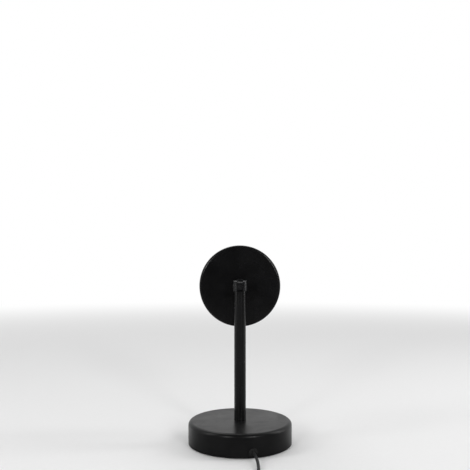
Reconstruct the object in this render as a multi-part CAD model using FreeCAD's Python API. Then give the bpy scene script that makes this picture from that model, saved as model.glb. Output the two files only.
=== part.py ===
import FreeCAD
import Part
import math
import os

from FreeCAD import Placement, Rotation, Vector

os.makedirs("parts", exist_ok=True)

# Sunset projection lamp: a round weighted base, a tube stem, and a drum-shaped lamp head on a knuckle.
# Millimetres. The origin is the middle of the base on the table, +Z is up and the lens looks along +Y.

# ---- Base ----------------------------------------------------------------------------------------
base_diameter = 110.0
base_height = 24.0
base_edge_radius = 6.0
base_wall = 1.0
shell_lift = 1.0            # the shell's rim stays this far off the table
pad_inset = 6.0             # the pad is this much smaller than the shell all round
pad_thickness = 1.5
cover_thickness = 2.0
cover_rim_height = 3.5
cover_rim_wall = 1.6
weight_inset = 5.0
weight_level = 10.0         # the weight's underside above the table
weight_chamfer = 5.0
weight_lower_chamfer = 1.0
weight_recess_diameter = 34.0
web_level = 17.5            # the top of the recess that takes the nut
cover_screw_inset = 12.0    # from the weight's edge
cover_screw_count = 3
cover_screw_diameter = 4.0
cover_screw_length = 14.0
cover_screw_head_diameter = 7.6
cover_screw_head_height = 2.2
cover_screw_sunk = 0.2
cover_socket = 2.5
cover_socket_depth = 1.4
cover_thread_depth = 8.0
cover_boss_diameter = 9.0
cover_rim_inset = 1.0

# ---- Stem and its threaded nipple ----------------------------------------------------------------
tube_diameter = 12.5
tube_wall = 1.2
nipple_diameter = 10.0
nipple_bore = 7.0
nipple_in_tube = 14.0
nut_width = 14.0
nut_height = 4.0
nut_chamfer = 0.6
washer_diameter = 18.0
washer_thickness = 1.0
nipple_below_nut = 1.5

# ---- Knuckle -------------------------------------------------------------------------------------
hinge_height = 165.8
fork_diameter = 15.4
fork_flat = 14.8            # across the two flats that the hinge screw goes through
fork_top_radius = 7.2
fork_below_hinge = 4.8
fork_spigot_length = 12.0
fork_foot_radius = 0.5
fork_foot_gap = 3.0         # from the fork's foot down to the inner lead's end
fork_reach = 40.0           # longer than the fork, for cuts right through it
slot_width = 6.0
lead_bore = 4.0
tongue_thickness = 4.8
tongue_hub_radius = 6.0
tongue_arm_height = 5.2
tongue_flange_diameter = 16.0
tongue_flange_thickness = 3.5
tongue_flange_edge = 1.2
tongue_neck_length = 3.0
tongue_neck_radius = 5.0
stud_length = 6.7
stud_bore = 5.0
arm_bore = 3.4
arm_bore_start = 2.5        # from the hinge screw
lead_in_arm = 0.5           # from the bore's start to the lead's end
hinge_screw_diameter = 4.0
hinge_head_diameter = 6.8
hinge_head_height = 1.8
hinge_socket = 2.5
hinge_socket_depth = 1.1
hinge_sunk = 0.2            # the screw's head and the nut lie this far inside the fork's flats
hinge_nut_width = 7.0
hinge_nut_height = 2.2
friction_washer_diameter = 11.0
friction_washer_thickness = 0.55

# ---- Head ----------------------------------------------------------------------------------------
head_diameter = 90.0
head_depth = 36.0
head_back = 19.0            # from the hinge axis to the head's back
head_wall = 1.2
head_edge_radius = 2.5
bezel_thickness = 2.5
bezel_skirt_wall = 1.4
bezel_skirt_length = 7.5
bezel_rim_width = 2.4
bezel_dish_depth = 0.9
bezel_groove_count = 3
bezel_groove_width = 1.2
bezel_groove_pitch = 4.0
bezel_groove_depth = 0.5
bezel_screw_diameter = 3.0
bezel_screw_count = 3
bezel_screw_length = 2.85
bezel_screw_sunk = 0.15
bezel_socket = 1.5
bezel_socket_depth = 1.25
bezel_edge_radius = 1.0
lens_lip_slope = 0.8
lens_diameter = 42.0
lens_edge = 2.5
lens_dome_height = 6.0
lens_dome_diameter = 38.6
lens_ring_height = 3.5
lens_ring_bevel = 1.2
lens_ring_notch = 2.0
gasket_thickness = 0.5
lens_below_front = 9.5      # from the bezel's front to the lens's flat side
lens_lip_width = 2.9
optic_bore = 38.0
spacer_height = 4.0
spacer_wall = 2.4
filter_diameter = 26.0
filter_thickness = 1.1
filter_aperture = 22.0
holder_height = 2.5
reflector_height = 4.0
reflector_mouth = 12.0
emitter_side = 13.5
emitter_thickness = 1.0
phosphor_diameter = 11.0
phosphor_thickness = 0.5
pad_from_barrel = 2.5       # the wires' pads on the board lie this far outside the bezel's barrel
pad_from_edge = 1.6
led_board_thickness = 1.6
heat_sink_diameter = 60.0
heat_sink_plate = 3.0
fin_height = 8.4
fin_thickness = 1.2
fin_pitch = 5.0
first_fin = 3.0             # from the middle
fin_rows_each_side = 6
fin_pocket_diameter = 24.0
engine_screw_diameter = 2.5
engine_screw_outside = 2.5  # from the optics' bore to the screws' middles
thread_wall = 1.15
engine_screw_count = 3
engine_screw_length = 12.0
engine_head_diameter = 4.5
engine_head_height = 1.8
engine_socket = 1.5
engine_socket_depth = 1.0
driver_width = 24.0
driver_depth = 11.0
driver_thickness = 1.2
driver_tape_thickness = 2.8
tape_inset = 2.5
driver_inner_edge = 30.0    # from the head's axis to the board's upper edge
terminal_size = 6.0
terminal_over_lead = 0.6
coil_core_diameter = 6.0
coil_core_waist = 4.4
coil_core_flange = 0.8
coil_core_height = 4.2
can_diameter = 5.0
can_height = 5.8
can_edge_radius = 0.4
component_offset = 7.5      # of the coil and the capacitor from the board's middle
wire_from_terminal = 1.2
wire_from_sink = 2.4
wire_rise = 4.0             # over the board, at the top of its loop
wire_diameter = 1.0

# ---- Cord ----------------------------------------------------------------------------------------
cord_diameter = 3.0
cord_exit_angle = 13.0      # to the right of straight back, seen from above
cord_exit_height = 6.0
first_run = 11.5            # straight out of the grommet
grommet_diameter = 7.0
grommet_flange = 9.0
grommet_out = 1.5
grommet_flange_thickness = 1.2
inner_bend_radius = 8.0     # of the lead where it turns up into the nipple
head_bend_radius = 4.5      # of the lead where it leaves the stud
clamp_inset = 17.0          # from the shell's outside to the clamp
clamp_width = 18.0
clamp_length = 6.0
clamp_height = 4.8
clamp_edge_radius = 0.8
clamp_screw_spacing = 12.0
clamp_screw_diameter = 2.0
clamp_screw_head_diameter = 3.6
clamp_screw_head_height = 0.7
clamp_screw_in_cover = 0.8
coil_offset = 31.0          # to the right of the lamp's axis
coil_behind_base = 106.0    # from the base's edge to the coil's middle
coil_pitch = 3.5
coil_layer_pitch = 3.5
coil_inner_radius = 12.44
coil_quarters = (11, 11, 11, 10)    # quarter turns in each layer
tie_thickness = 0.6
tie_width = 6.0
tie_gap = 0.3

# ---- In-line switch and plug ---------------------------------------------------------------------
coil_to_switch = 74.0       # from the coil's middle to the switch, to the left
switch_length = 34.0
switch_width = 13.0
switch_height = 10.0
switch_wall = 1.2
switch_corner_radius = 4.0
switch_top_radius = 1.2
switch_bottom_radius = 0.8
switch_screw_inset = 7.0
switch_screw_head = 3.6
switch_screw_head_height = 1.3
switch_screw_sunk = 0.3
switch_screw_in_top = 2.4
button_diameter = 7.0
button_flange = 1.0
button_flange_width = 0.9
button_travel = 1.0
button_stands = 1.4
button_dome = 0.7
button_gap = 0.25
unit_side = 8.0
switch_screw_diameter = 2.0
switch_to_plug = 30.0       # between the two pieces' middles, side by side
plug_relief_length = 8.0
plug_relief_diameter = 5.0
plug_body_length = 20.0
plug_body_width = 15.6
plug_body_height = 8.5
plug_edge_radius = 2.2
plug_relief_taper = 0.6     # either way from its middle diameter
usb_width = 12.0
usb_height = 4.5
usb_out = 14.0
usb_in = 4.0
usb_wall = 0.4
usb_tongue_height = 1.9
usb_contact_count = 4
usb_contact_pitch = 2.2
usb_contact_width = 1.0
usb_contact_length = 9.0
usb_contact_thickness = 0.24
usb_contact_start = 3.0     # from the overmould's front
usb_window = 2.3
usb_window_start = 5.35
usb_window_offset = 3.0
usb_tongue_back = 0.8       # the tongue's end inside the shell's mouth

# ---- Clearances ----------------------------------------------------------------------------------
fit_gap = 0.05              # a shaft, screw or pin in its hole, on the radius
seat_gap = 0.1              # round a head or a nut in its seat
loose_gap = 0.3             # between pieces that only lie near each other

# ---- Levels worked out from the sizes above ------------------------------------------------------
base_radius = base_diameter / 2
pad_diameter = base_diameter - 2 * pad_inset
weight_radius = base_radius - weight_inset
cover_screw_circle = 2 * (weight_radius - cover_screw_inset)
clamp_distance = base_radius - clamp_inset
shell_inner_top = base_height - base_wall
cover_top = pad_thickness + cover_thickness
tube_radius = tube_diameter / 2
tube_bore_radius = tube_radius - tube_wall
tube_top = hinge_height - fork_below_hinge
cord_radius = cord_diameter / 2
floor_level = cord_radius + 0.1
head_radius = head_diameter / 2
head_inner_radius = head_radius - head_wall
shell_depth = head_depth - bezel_thickness
lens_seat = head_depth - lens_below_front
gasket_seat = lens_seat - gasket_thickness
optic_radius = optic_bore / 2 - fit_gap
engine_screw_circle = optic_bore + 2 * engine_screw_outside
barrel_radius = (engine_screw_circle + engine_screw_diameter) / 2 + thread_wall
wire_pad = barrel_radius + pad_from_barrel
led_board_diameter = 2 * (wire_pad + pad_from_edge)
holder_level = lens_seat - spacer_height - holder_height
reflector_level = holder_level - reflector_height
board_level = reflector_level - led_board_thickness
sink_level = board_level - heat_sink_plate
driver_level = head_wall + driver_tape_thickness
lead_level = sink_level - cord_radius - loose_gap
coil_centre = Vector(coil_offset, -base_radius - coil_behind_base, 0)
switch_place = coil_centre - Vector(coil_to_switch, 0, 0)       # where the cord enters it
plug_place = switch_place + Vector(switch_to_plug, -switch_length, 0)


# ---- Ways of making a solid ----------------------------------------------------------------------
def outline(start, *steps):
    """Closed outline in the XZ plane: a step is the end of a line, or an arc's (through, end) pair."""
    edges = []
    here = Vector(start[0], 0, start[1])
    for step in list(steps) + [start]:
        if isinstance(step[0], tuple):
            through, end = (Vector(p[0], 0, p[1]) for p in step)
            edges.append(Part.Arc(here, through, end).toShape())
        else:
            end = Vector(step[0], 0, step[1])
            if here.distanceToPoint(end) > 1e-6:
                edges.append(Part.LineSegment(here, end).toShape())
        here = end
    return Part.Wire(edges)


def turned(start, *steps):
    return Part.Face(outline(start, *steps)).revolve(Vector(), Vector(0, 0, 1), 360)


def bend(centre, radius, start_angle, end_angle):
    """An arc step of an outline, given by its centre, radius and angles."""
    middle = (start_angle + end_angle) / 2
    places = []
    for angle in (middle, end_angle):
        turn = math.radians(angle)
        places.append((centre[0] + radius * math.cos(turn), centre[1] + radius * math.sin(turn)))
    return tuple(places)


def disc(radius, bottom, top):
    return Part.makeCylinder(radius, top - bottom, Vector(0, 0, bottom))


def ring(outer, inner, bottom, top):
    return turned((inner, bottom), (outer, bottom), (outer, top), (inner, top))


def rod(radius, start, end):
    return Part.makeCylinder(radius, start.distanceToPoint(end), start, end - start)


def block(centre, size):
    corner = centre - size / 2
    return Part.makeBox(size.x, size.y, size.z, corner)


def six_sided(across_flats, bottom, top):
    corner = across_flats / math.sqrt(3)
    points = []
    for side in range(7):
        turn = math.radians(60 * side + 30)
        points.append(Vector(corner * math.cos(turn), corner * math.sin(turn), bottom))
    return Part.Face(Part.makePolygon(points)).extrude(Vector(0, 0, top - bottom))


def nut(across_flats, bottom, top, bore_radius):
    """Hexagon nut with its corners turned off at both faces."""
    corner = across_flats / math.sqrt(3)
    face = corner - nut_chamfer
    drop = nut_chamfer * 2 / 3
    turned_corners = turned((0, bottom), (face, bottom), (corner, bottom + drop),
                            (corner, top - drop), (face, top), (0, top))
    return six_sided(across_flats, bottom, top).common(turned_corners).cut(disc(bore_radius, bottom, top))


def around(shape, count, first_angle=0.0):
    """Copies of a shape, evenly spaced about the Z axis."""
    copies = []
    for number in range(count):
        copy = shape.copy()
        copy.rotate(Vector(), Vector(0, 0, 1), first_angle + 360.0 * number / count)
        copies.append(copy)
    return copies


def group(shapes):
    return Part.makeCompound(shapes)


def polar(radius, angle, height=0.0):
    turn = math.radians(angle)
    return Vector(radius * math.cos(turn), radius * math.sin(turn), height)


def along(shape, direction, place):
    """A shape made along +Z, turned to a direction and set at a place."""
    turned_copy = shape.copy()
    turned_copy.Placement = Placement(place, Rotation(Vector(0, 0, 1), direction))
    return turned_copy


def in_head(shape):
    """A shape made along +Z from the head's back at z = 0, set in the head, whose lens looks along +Y."""
    copy = shape.copy()
    copy.rotate(Vector(), Vector(1, 0, 0), -90)
    copy.translate(Vector(0, head_back, hinge_height))
    return copy


# ---- Cords ---------------------------------------------------------------------------------------
def route(points, name):
    """Straight runs joined by tangent arcs, each as large as its two runs allow."""
    edges = []
    radii = []
    here = points[0]
    for before, corner, after in zip(points, points[1:], points[2:]):
        run_in = corner - before
        run_out = after - corner
        turn = run_in.getAngle(run_out)
        cut = 0.45 * min(run_in.Length, run_out.Length)
        radii.append(cut / math.tan(turn / 2))
        start = corner - run_in.normalize() * cut
        end = corner + run_out.normalize() * cut
        middle_line = (start + end) / 2 - corner
        sagitta = radii[-1] * (1 / math.cos(turn / 2) - 1)
        through = corner + middle_line.normalize() * sagitta
        edges.append(Part.LineSegment(here, start).toShape())
        edges.append(Part.Arc(start, through, end).toShape())
        here = end
    edges.append(Part.LineSegment(here, points[-1]).toShape())
    print(name, "bend radii", [round(r, 1) for r in radii])
    return Part.Wire(edges)


def tube_on(path, radius, start, direction, name):
    section = Part.Wire(Part.makeCircle(radius, start, direction))
    tube = path.makePipeShell([section], True, False)
    expected = math.pi * radius ** 2 * path.Length
    print(name, "length", round(path.Length, 1), "volume ratio", round(tube.Volume / expected, 4))
    return tube


def cord(points, name, radius=cord_radius):
    return tube_on(route(points, name), radius, points[0], points[1] - points[0], name)


def arc_from_corner(start, corner, end):
    """The arc that leaves start and reaches end, tangent to the lines to their common corner."""
    middle = (start + end) / 2
    half_chord = start.distanceToPoint(end) / 2
    rise = corner - middle
    half_turn = math.atan2(rise.Length, half_chord)
    sagitta = half_chord * math.tan(half_turn / 2)
    return Part.Arc(start, middle + rise.normalize() * sagitta, end)


def biarc(start, start_way, end, end_way):
    """Two tangent arcs between two places with given directions."""
    chord = end - start
    both = start_way + end_way
    spread = 2 * (1 - start_way.dot(end_way))
    reach = (-chord.dot(both) + math.sqrt(chord.dot(both) ** 2 + spread * chord.dot(chord))) / spread
    first = start + start_way * reach
    second = end - end_way * reach
    joint = (first + second) / 2
    return [arc_from_corner(start, first, joint), arc_from_corner(joint, second, end)]


# ---- Base pieces ---------------------------------------------------------------------------------
def exit_way():
    return polar(1.0, cord_exit_angle - 90)


def base_shell():
    outer = base_radius
    inner = base_radius - base_wall
    edge = base_edge_radius
    hole = nipple_diameter / 2 + fit_gap
    cup = turned((hole, shell_inner_top),
                 (inner - edge + base_wall, shell_inner_top),
                 bend((outer - edge, base_height - edge), edge - base_wall, 90, 0),
                 (inner, shell_lift),
                 (outer, shell_lift),
                 (outer, base_height - edge),
                 bend((outer - edge, base_height - edge), edge, 0, 90),
                 (hole, base_height))
    exit_hole = along(disc(grommet_diameter / 2 + fit_gap, 0, 2 * edge), exit_way(),
                      exit_way() * (inner - edge) + Vector(0, 0, cord_exit_height))
    return cup.cut(exit_hole)


def base_weight():
    radius = weight_radius
    recess = weight_recess_diameter / 2
    hole = nipple_diameter / 2 + fit_gap
    body = turned((hole, web_level), (recess, web_level), (recess, weight_level),
                  (radius - weight_lower_chamfer, weight_level),
                  (radius, weight_level + weight_lower_chamfer),
                  (radius, shell_inner_top - weight_chamfer), (radius - weight_chamfer, shell_inner_top),
                  (hole, shell_inner_top))
    thread = disc(cover_screw_diameter / 2 + fit_gap, weight_level, weight_level + cover_thread_depth)
    thread.translate(Vector(cover_screw_circle / 2, 0, 0))
    return body.cut(around(thread, cover_screw_count, 90))


def base_cover():
    radius = base_radius - base_wall - loose_gap
    rim_outer = radius - cover_rim_inset
    plate = disc(radius, pad_thickness, cover_top)
    rim = ring(rim_outer, rim_outer - cover_rim_wall, cover_top, cover_top + cover_rim_height)
    boss = disc(cover_boss_diameter / 2, cover_top, weight_level)
    boss.translate(Vector(cover_screw_circle / 2, 0, 0))
    rest = block(Vector(clamp_distance, 0, (cover_top + cord_exit_height - cord_radius) / 2),
                 Vector(clamp_length, clamp_width, cord_exit_height - cord_radius - cover_top))
    rest.rotate(Vector(), Vector(0, 0, 1), cord_exit_angle - 90)
    body = plate.fuse([rim, rest] + around(boss, cover_screw_count, 90)).removeSplitter()
    hole = disc(cover_screw_diameter / 2 + fit_gap, pad_thickness, weight_level)
    sink = disc(cover_screw_head_diameter / 2 + loose_gap, pad_thickness, cover_head_top())
    drilled = hole.fuse(sink)
    drilled.translate(Vector(cover_screw_circle / 2, 0, 0))
    way = exit_way()
    notch_depth = 2 * cover_rim_wall + cover_rim_inset
    notch = block(Vector(radius - notch_depth / 2 + cover_rim_inset, 0,
                         (pad_thickness + cover_top + cover_rim_height) / 2),
                  Vector(notch_depth, grommet_flange + 2 * loose_gap, cover_thickness + cover_rim_height))
    notch.rotate(Vector(), Vector(0, 0, 1), cord_exit_angle - 90)
    threads = []
    for side in (-1, 1):
        across = Vector(-way.y, way.x, 0) * side * clamp_screw_spacing / 2
        foot = way * clamp_distance + across + Vector(0, 0, cover_top)
        threads.append(rod(clamp_screw_diameter / 2 + fit_gap,
                           foot - Vector(0, 0, clamp_screw_in_cover + fit_gap),
                           foot + Vector(0, 0, cord_exit_height)))
    return body.cut(around(drilled, cover_screw_count, 90) + [notch] + threads)


def base_pad():
    return disc(pad_diameter / 2, 0, pad_thickness)


def cover_head_top():
    return pad_thickness + cover_screw_sunk + cover_screw_head_height


def cover_screws():
    bottom = pad_thickness + cover_screw_sunk
    shank = disc(cover_screw_diameter / 2, bottom, bottom + cover_screw_length)
    head = disc(cover_screw_head_diameter / 2, bottom, cover_head_top())
    socket = six_sided(cover_socket, bottom, bottom + cover_socket_depth)
    screw = shank.fuse(head).removeSplitter().cut(socket)
    screw.translate(Vector(cover_screw_circle / 2, 0, 0))
    return group(around(screw, cover_screw_count, 90))


def cord_grommet():
    """Bush in the shell's wall, with a groove that snaps over the wall and a domed outer flange."""
    flange = grommet_flange / 2
    neck = grommet_diameter / 2
    hole = cord_radius + fit_gap
    wall_inner = base_radius - base_wall - loose_gap
    inside = grommet_flange_thickness
    outside = inside + base_wall + 2 * loose_gap
    lip = grommet_out - 1.5 * loose_gap
    shape = turned((hole, 0), (flange, 0), (flange, inside), (neck, inside), (neck, outside),
                   (flange, outside), bend((flange - lip, outside), lip, 0, 80),
                   (hole, outside + grommet_out - loose_gap))
    start = exit_way() * (wall_inner - inside) + Vector(0, 0, cord_exit_height)
    return along(shape, exit_way(), start)


def cord_clamp():
    """Small bridge that holds the lead down on the cover."""
    level = cord_exit_height - cord_radius
    body = block(Vector(clamp_distance, 0, level + clamp_height / 2),
                 Vector(clamp_length, clamp_width, clamp_height))
    body = body.makeFillet(clamp_edge_radius, [edge for edge in body.Edges
                                               if edge.BoundBox.ZMin > level + clamp_height - 0.01])
    groove = rod(cord_radius + fit_gap, Vector(clamp_distance - clamp_length, 0, cord_exit_height),
                 Vector(clamp_distance + clamp_length, 0, cord_exit_height))
    mouth = block(Vector(clamp_distance, 0, level + cord_radius / 2),
                  Vector(2 * clamp_length, cord_diameter + 2 * fit_gap, cord_radius))
    body = body.cut([groove, mouth])
    for side in (-1, 1):
        foot = Vector(clamp_distance, side * clamp_screw_spacing / 2, level)
        body = body.cut(rod(clamp_screw_diameter / 2 + fit_gap, foot, foot + Vector(0, 0, clamp_height)))
    body.rotate(Vector(), Vector(0, 0, 1), cord_exit_angle - 90)
    return body


def clamp_screws():
    level = cord_exit_height - cord_radius
    screws = []
    for side in (-1, 1):
        foot = Vector(clamp_distance, side * clamp_screw_spacing / 2, cover_top - clamp_screw_in_cover)
        top = Vector(foot.x, foot.y, level + clamp_height)
        shank = rod(clamp_screw_diameter / 2, foot, top)
        head = rod(clamp_screw_head_diameter / 2, top, top + Vector(0, 0, clamp_screw_head_height))
        screw = shank.fuse(head).removeSplitter()
        screw.rotate(Vector(), Vector(0, 0, 1), cord_exit_angle - 90)
        screws.append(screw)
    return group(screws)


def lead_in_base():
    """The lead from the grommet's mouth, under the clamp, up the nipple and the stem to the fork's bore."""
    start = lead_start()
    level = Vector(0, 0, cord_exit_height)
    turn = inner_bend_radius
    edge_in = exit_way() * turn + level
    up = Vector(0, 0, cord_exit_height + turn)
    middle = edge_in + Vector(0, 0, turn)
    through = middle - (exit_way() + Vector(0, 0, 1)) * turn * math.sqrt(0.5)
    top = Vector(0, 0, tube_top - fork_foot_gap)
    path = Part.Wire([Part.LineSegment(start, edge_in).toShape(),
                      Part.Arc(edge_in, through, up).toShape(),
                      Part.LineSegment(up, top).toShape()])
    return tube_on(path, cord_radius, start, edge_in - start, "lead_in_base")


# ---- Stem pieces ---------------------------------------------------------------------------------
def nipple_bottom():
    return web_level - washer_thickness - nut_height - nipple_below_nut


def stem_nipple():
    return ring(nipple_diameter / 2, nipple_bore / 2, nipple_bottom(), base_height + nipple_in_tube)


def nipple_washer():
    return ring(washer_diameter / 2, nipple_diameter / 2 + fit_gap, web_level - washer_thickness, web_level)


def nipple_nut():
    top = web_level - washer_thickness
    return nut(nut_width, top - nut_height, top, nipple_diameter / 2 + fit_gap)


def stem_tube():
    return ring(tube_radius, tube_bore_radius, base_height, tube_top)


# ---- Knuckle -------------------------------------------------------------------------------------
def hinge_bore(radius, start_x, end_x):
    return rod(radius, Vector(start_x, 0, hinge_height), Vector(end_x, 0, hinge_height))


def knuckle_fork():
    """Round fork: spigot in the tube, two ears with rounded tops, a through slot and a bore for the lead."""
    spigot = tube_bore_radius - fit_gap
    top = hinge_height + fork_top_radius
    post = disc(spigot, tube_top - fork_spigot_length, tube_top)
    body = disc(fork_diameter / 2, tube_top, top)
    reach = fork_diameter
    crown = hinge_bore(fork_top_radius, -reach, reach)
    foot = block(Vector(0, 0, (tube_top + hinge_height) / 2), Vector(2 * reach, 2 * reach, fork_below_hinge))
    body = body.common(crown.fuse(foot))
    body = body.common(block(Vector(0, 0, hinge_height), Vector(fork_flat, fork_reach, fork_reach)))
    body = body.makeFillet(fork_foot_radius, [edge for edge in body.Edges
                                              if edge.BoundBox.ZLength < 0.01
                                              and abs(edge.BoundBox.ZMin - tube_top) < 0.01])
    body = body.fuse(post).removeSplitter()
    slot_bottom = hinge_height - tongue_hub_radius - loose_gap
    slot = block(Vector(0, 0, slot_bottom + fork_reach / 2), Vector(slot_width, fork_reach, fork_reach))
    bore = disc(lead_bore / 2, tube_top - fork_spigot_length, slot_bottom)
    shank = hinge_bore(hinge_screw_diameter / 2 + fit_gap, -reach, reach)
    face = fork_flat / 2
    head_seat = hinge_bore(hinge_head_diameter / 2 + seat_gap, face - hinge_head_height - hinge_sunk, reach)
    nut_seat = along(six_sided(hinge_nut_width + 2 * seat_gap, 0, reach), Vector(-1, 0, 0),
                     Vector(-(face - hinge_nut_height - hinge_sunk), 0, hinge_height))
    return body.cut([slot, bore, shank, head_seat, nut_seat])


def hinge_screw():
    face = fork_flat / 2
    under_head = face - hinge_head_height - hinge_sunk
    shank = hinge_bore(hinge_screw_diameter / 2, -face + hinge_sunk + seat_gap, under_head)
    head = hinge_bore(hinge_head_diameter / 2, under_head, face - hinge_sunk)
    socket = along(six_sided(hinge_socket, 0, hinge_head_height), Vector(1, 0, 0),
                   Vector(face - hinge_sunk - hinge_socket_depth, 0, hinge_height))
    return shank.fuse(head).removeSplitter().cut(socket)


def hinge_nut():
    seat = fork_flat / 2 - hinge_nut_height - hinge_sunk
    shape = nut(hinge_nut_width, 0, hinge_nut_height, hinge_screw_diameter / 2 + fit_gap)
    return along(shape, Vector(-1, 0, 0), Vector(-seat, 0, hinge_height))


def friction_washers():
    washers = []
    for side in (-1, 1):
        washer = ring(friction_washer_diameter / 2, hinge_screw_diameter / 2 + fit_gap,
                      0, friction_washer_thickness)
        place = Vector(side * (slot_width / 2 - friction_washer_thickness), 0, hinge_height)
        washers.append(along(washer, Vector(side, 0, 0), place))
    return group(washers)


def knuckle_tongue():
    """Eye on the hinge screw, a bored arm, a round flange on the head's back and a hollow stud."""
    flange_back = head_back - tongue_flange_thickness
    hub = rod(tongue_hub_radius, Vector(-tongue_thickness / 2, 0, hinge_height),
              Vector(tongue_thickness / 2, 0, hinge_height))
    arm = block(Vector(0, flange_back / 2, hinge_height),
                Vector(tongue_thickness, flange_back, tongue_arm_height))
    flange_radius = tongue_flange_diameter / 2
    edge = tongue_flange_edge
    flange = turned((0, 0), (flange_radius - edge, 0), bend((flange_radius - edge, edge), edge, -90, 0),
                    (flange_radius, tongue_flange_thickness), (0, tongue_flange_thickness))
    neck = turned((0, -tongue_neck_length), (tongue_arm_height / 2 + 2 * seat_gap, -tongue_neck_length),
                  (tongue_neck_radius, 0), (0, 0))
    stud = disc(nipple_diameter / 2, tongue_flange_thickness, tongue_flange_thickness + stud_length)
    bore = disc(stud_bore / 2, 0, tongue_flange_thickness + stud_length)
    round_end = flange.fuse([stud, neck]).cut(bore)
    round_end.rotate(Vector(), Vector(1, 0, 0), -90)
    round_end.translate(Vector(0, flange_back, hinge_height))
    lead_way = rod(arm_bore / 2, Vector(0, hinge_screw_diameter / 2 + arm_bore_start, hinge_height),
                   Vector(0, head_back, hinge_height))
    pin_hole = hinge_bore(hinge_screw_diameter / 2 + fit_gap, -tongue_thickness, tongue_thickness)
    return hub.fuse([arm, round_end]).removeSplitter().cut([lead_way, pin_hole])


# ---- Head ----------------------------------------------------------------------------------------
def head_shell():
    outer = head_radius
    edge = head_edge_radius
    hole = nipple_diameter / 2 + fit_gap
    inner_edge = edge - head_wall
    cup = turned((hole, 0), (outer - edge, 0), bend((outer - edge, edge), edge, -90, 0),
                 (outer, shell_depth), (head_inner_radius, shell_depth),
                 (head_inner_radius, edge), bend((outer - edge, edge), inner_edge, 0, -90),
                 (hole, head_wall))
    return in_head(cup.cut(around(bezel_screw_hole(), bezel_screw_count, 90)))


def bezel_screw_level():
    return shell_depth - bezel_skirt_length / 2


def bezel_screw_hole():
    level = bezel_screw_level()
    return rod(bezel_screw_diameter / 2 + fit_gap,
               Vector(head_inner_radius - 2 * bezel_skirt_wall, 0, level),
               Vector(head_radius + 1, 0, level))


def head_washer():
    return in_head(ring(washer_diameter / 2, nipple_diameter / 2 + fit_gap,
                        head_wall, head_wall + washer_thickness))


def head_nut():
    bottom = head_wall + washer_thickness
    return in_head(nut(nut_width, bottom, bottom + nut_height, nipple_diameter / 2 + fit_gap))


def head_bezel():
    """Front ring with a dished, grooved face, a skirt inside the shell and a barrel for the optics."""
    front = head_depth
    dish = front - bezel_dish_depth
    rim = head_radius - bezel_rim_width
    skirt_outer = head_inner_radius - fit_gap
    skirt_inner = skirt_outer - bezel_skirt_wall
    skirt_end = shell_depth - bezel_skirt_length
    lens_hole = lens_diameter / 2 + fit_gap
    optics_hole = optic_bore / 2
    barrel_end = reflector_level
    mouth = lens_hole + lens_lip_width
    edge = bezel_edge_radius
    body = turned((optics_hole, barrel_end), (barrel_radius, barrel_end), (barrel_radius, shell_depth),
                  (skirt_inner, shell_depth), (skirt_inner, skirt_end), (skirt_outer, skirt_end),
                  (skirt_outer, shell_depth), (head_radius, shell_depth),
                  (head_radius, front - edge), bend((head_radius - edge, front - edge), edge, 0, 90),
                  (rim, front), (rim - edge, dish), (mouth, dish), (mouth - lens_lip_slope, front),
                  (lens_hole, front),
                  (lens_hole, gasket_seat), (optics_hole, gasket_seat))
    grooves = []
    for number in range(bezel_groove_count):
        middle = (mouth + rim) / 2 + (number - (bezel_groove_count - 1) / 2) * bezel_groove_pitch
        grooves.append(ring(middle + bezel_groove_width / 2, middle - bezel_groove_width / 2,
                            dish - bezel_groove_depth, dish + 1))
    thread = disc(engine_screw_diameter / 2 + fit_gap, barrel_end, barrel_end + engine_screw_length)
    thread.translate(Vector(engine_screw_circle / 2, 0, 0))
    screws = around(thread, engine_screw_count, 30) + around(bezel_screw_hole(), bezel_screw_count, 90)
    return in_head(body.cut(grooves + screws))


def bezel_screws():
    level = bezel_screw_level()
    outer_end = head_radius - bezel_screw_sunk
    screw = rod(bezel_screw_diameter / 2, Vector(outer_end - bezel_screw_length, 0, level),
                Vector(outer_end, 0, level))
    socket = along(six_sided(bezel_socket, 0, bezel_screw_length), Vector(1, 0, 0),
                   Vector(outer_end - bezel_socket_depth, 0, level))
    return in_head(group(around(screw.cut(socket), bezel_screw_count, 90)))


def lens():
    """Plano-convex glass with a flat edge that the ring holds."""
    edge_top = lens_seat + lens_edge
    half = lens_dome_diameter / 2
    dome = (half ** 2 + lens_dome_height ** 2) / (2 * lens_dome_height)
    centre = (0, edge_top + lens_dome_height - dome)
    side = math.degrees(math.asin(half / dome))
    solid = turned((0, lens_seat), (lens_diameter / 2, lens_seat), (lens_diameter / 2, edge_top),
                   (half, edge_top), bend(centre, dome, 90 - side, 90))
    return in_head(solid)


def lens_gasket():
    return in_head(ring(lens_diameter / 2, optic_bore / 2, gasket_seat, lens_seat))


def lens_ring():
    bottom = lens_seat + lens_edge
    body = turned((lens_dome_diameter / 2 + fit_gap, bottom), (lens_diameter / 2, bottom),
                  (lens_diameter / 2, bottom + lens_ring_height),
                  (lens_dome_diameter / 2 + lens_ring_bevel / 2, bottom + lens_ring_height),
                  (lens_dome_diameter / 2 + fit_gap, bottom + lens_ring_height - lens_ring_bevel))
    notch = block(Vector(lens_diameter / 2, 0, bottom + lens_ring_height),
                  Vector(lens_diameter / 7, lens_ring_notch, 2 * lens_ring_bevel))
    return in_head(body.cut(around(notch, 2)))


def lens_spacer():
    bottom = lens_seat - spacer_height
    return in_head(ring(optic_radius, optic_radius - spacer_wall, bottom, lens_seat))


def filter_holder():
    recess = filter_diameter / 2 + fit_gap
    hole = filter_aperture / 2
    shelf = holder_level + holder_height - filter_thickness
    return in_head(turned((hole, holder_level), (optic_radius, holder_level),
                          (optic_radius, holder_level + holder_height),
                          (recess, holder_level + holder_height), (recess, shelf), (hole, shelf)))


def filter_glass():
    top = holder_level + holder_height
    return in_head(disc(filter_diameter / 2, top - filter_thickness, top))


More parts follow.
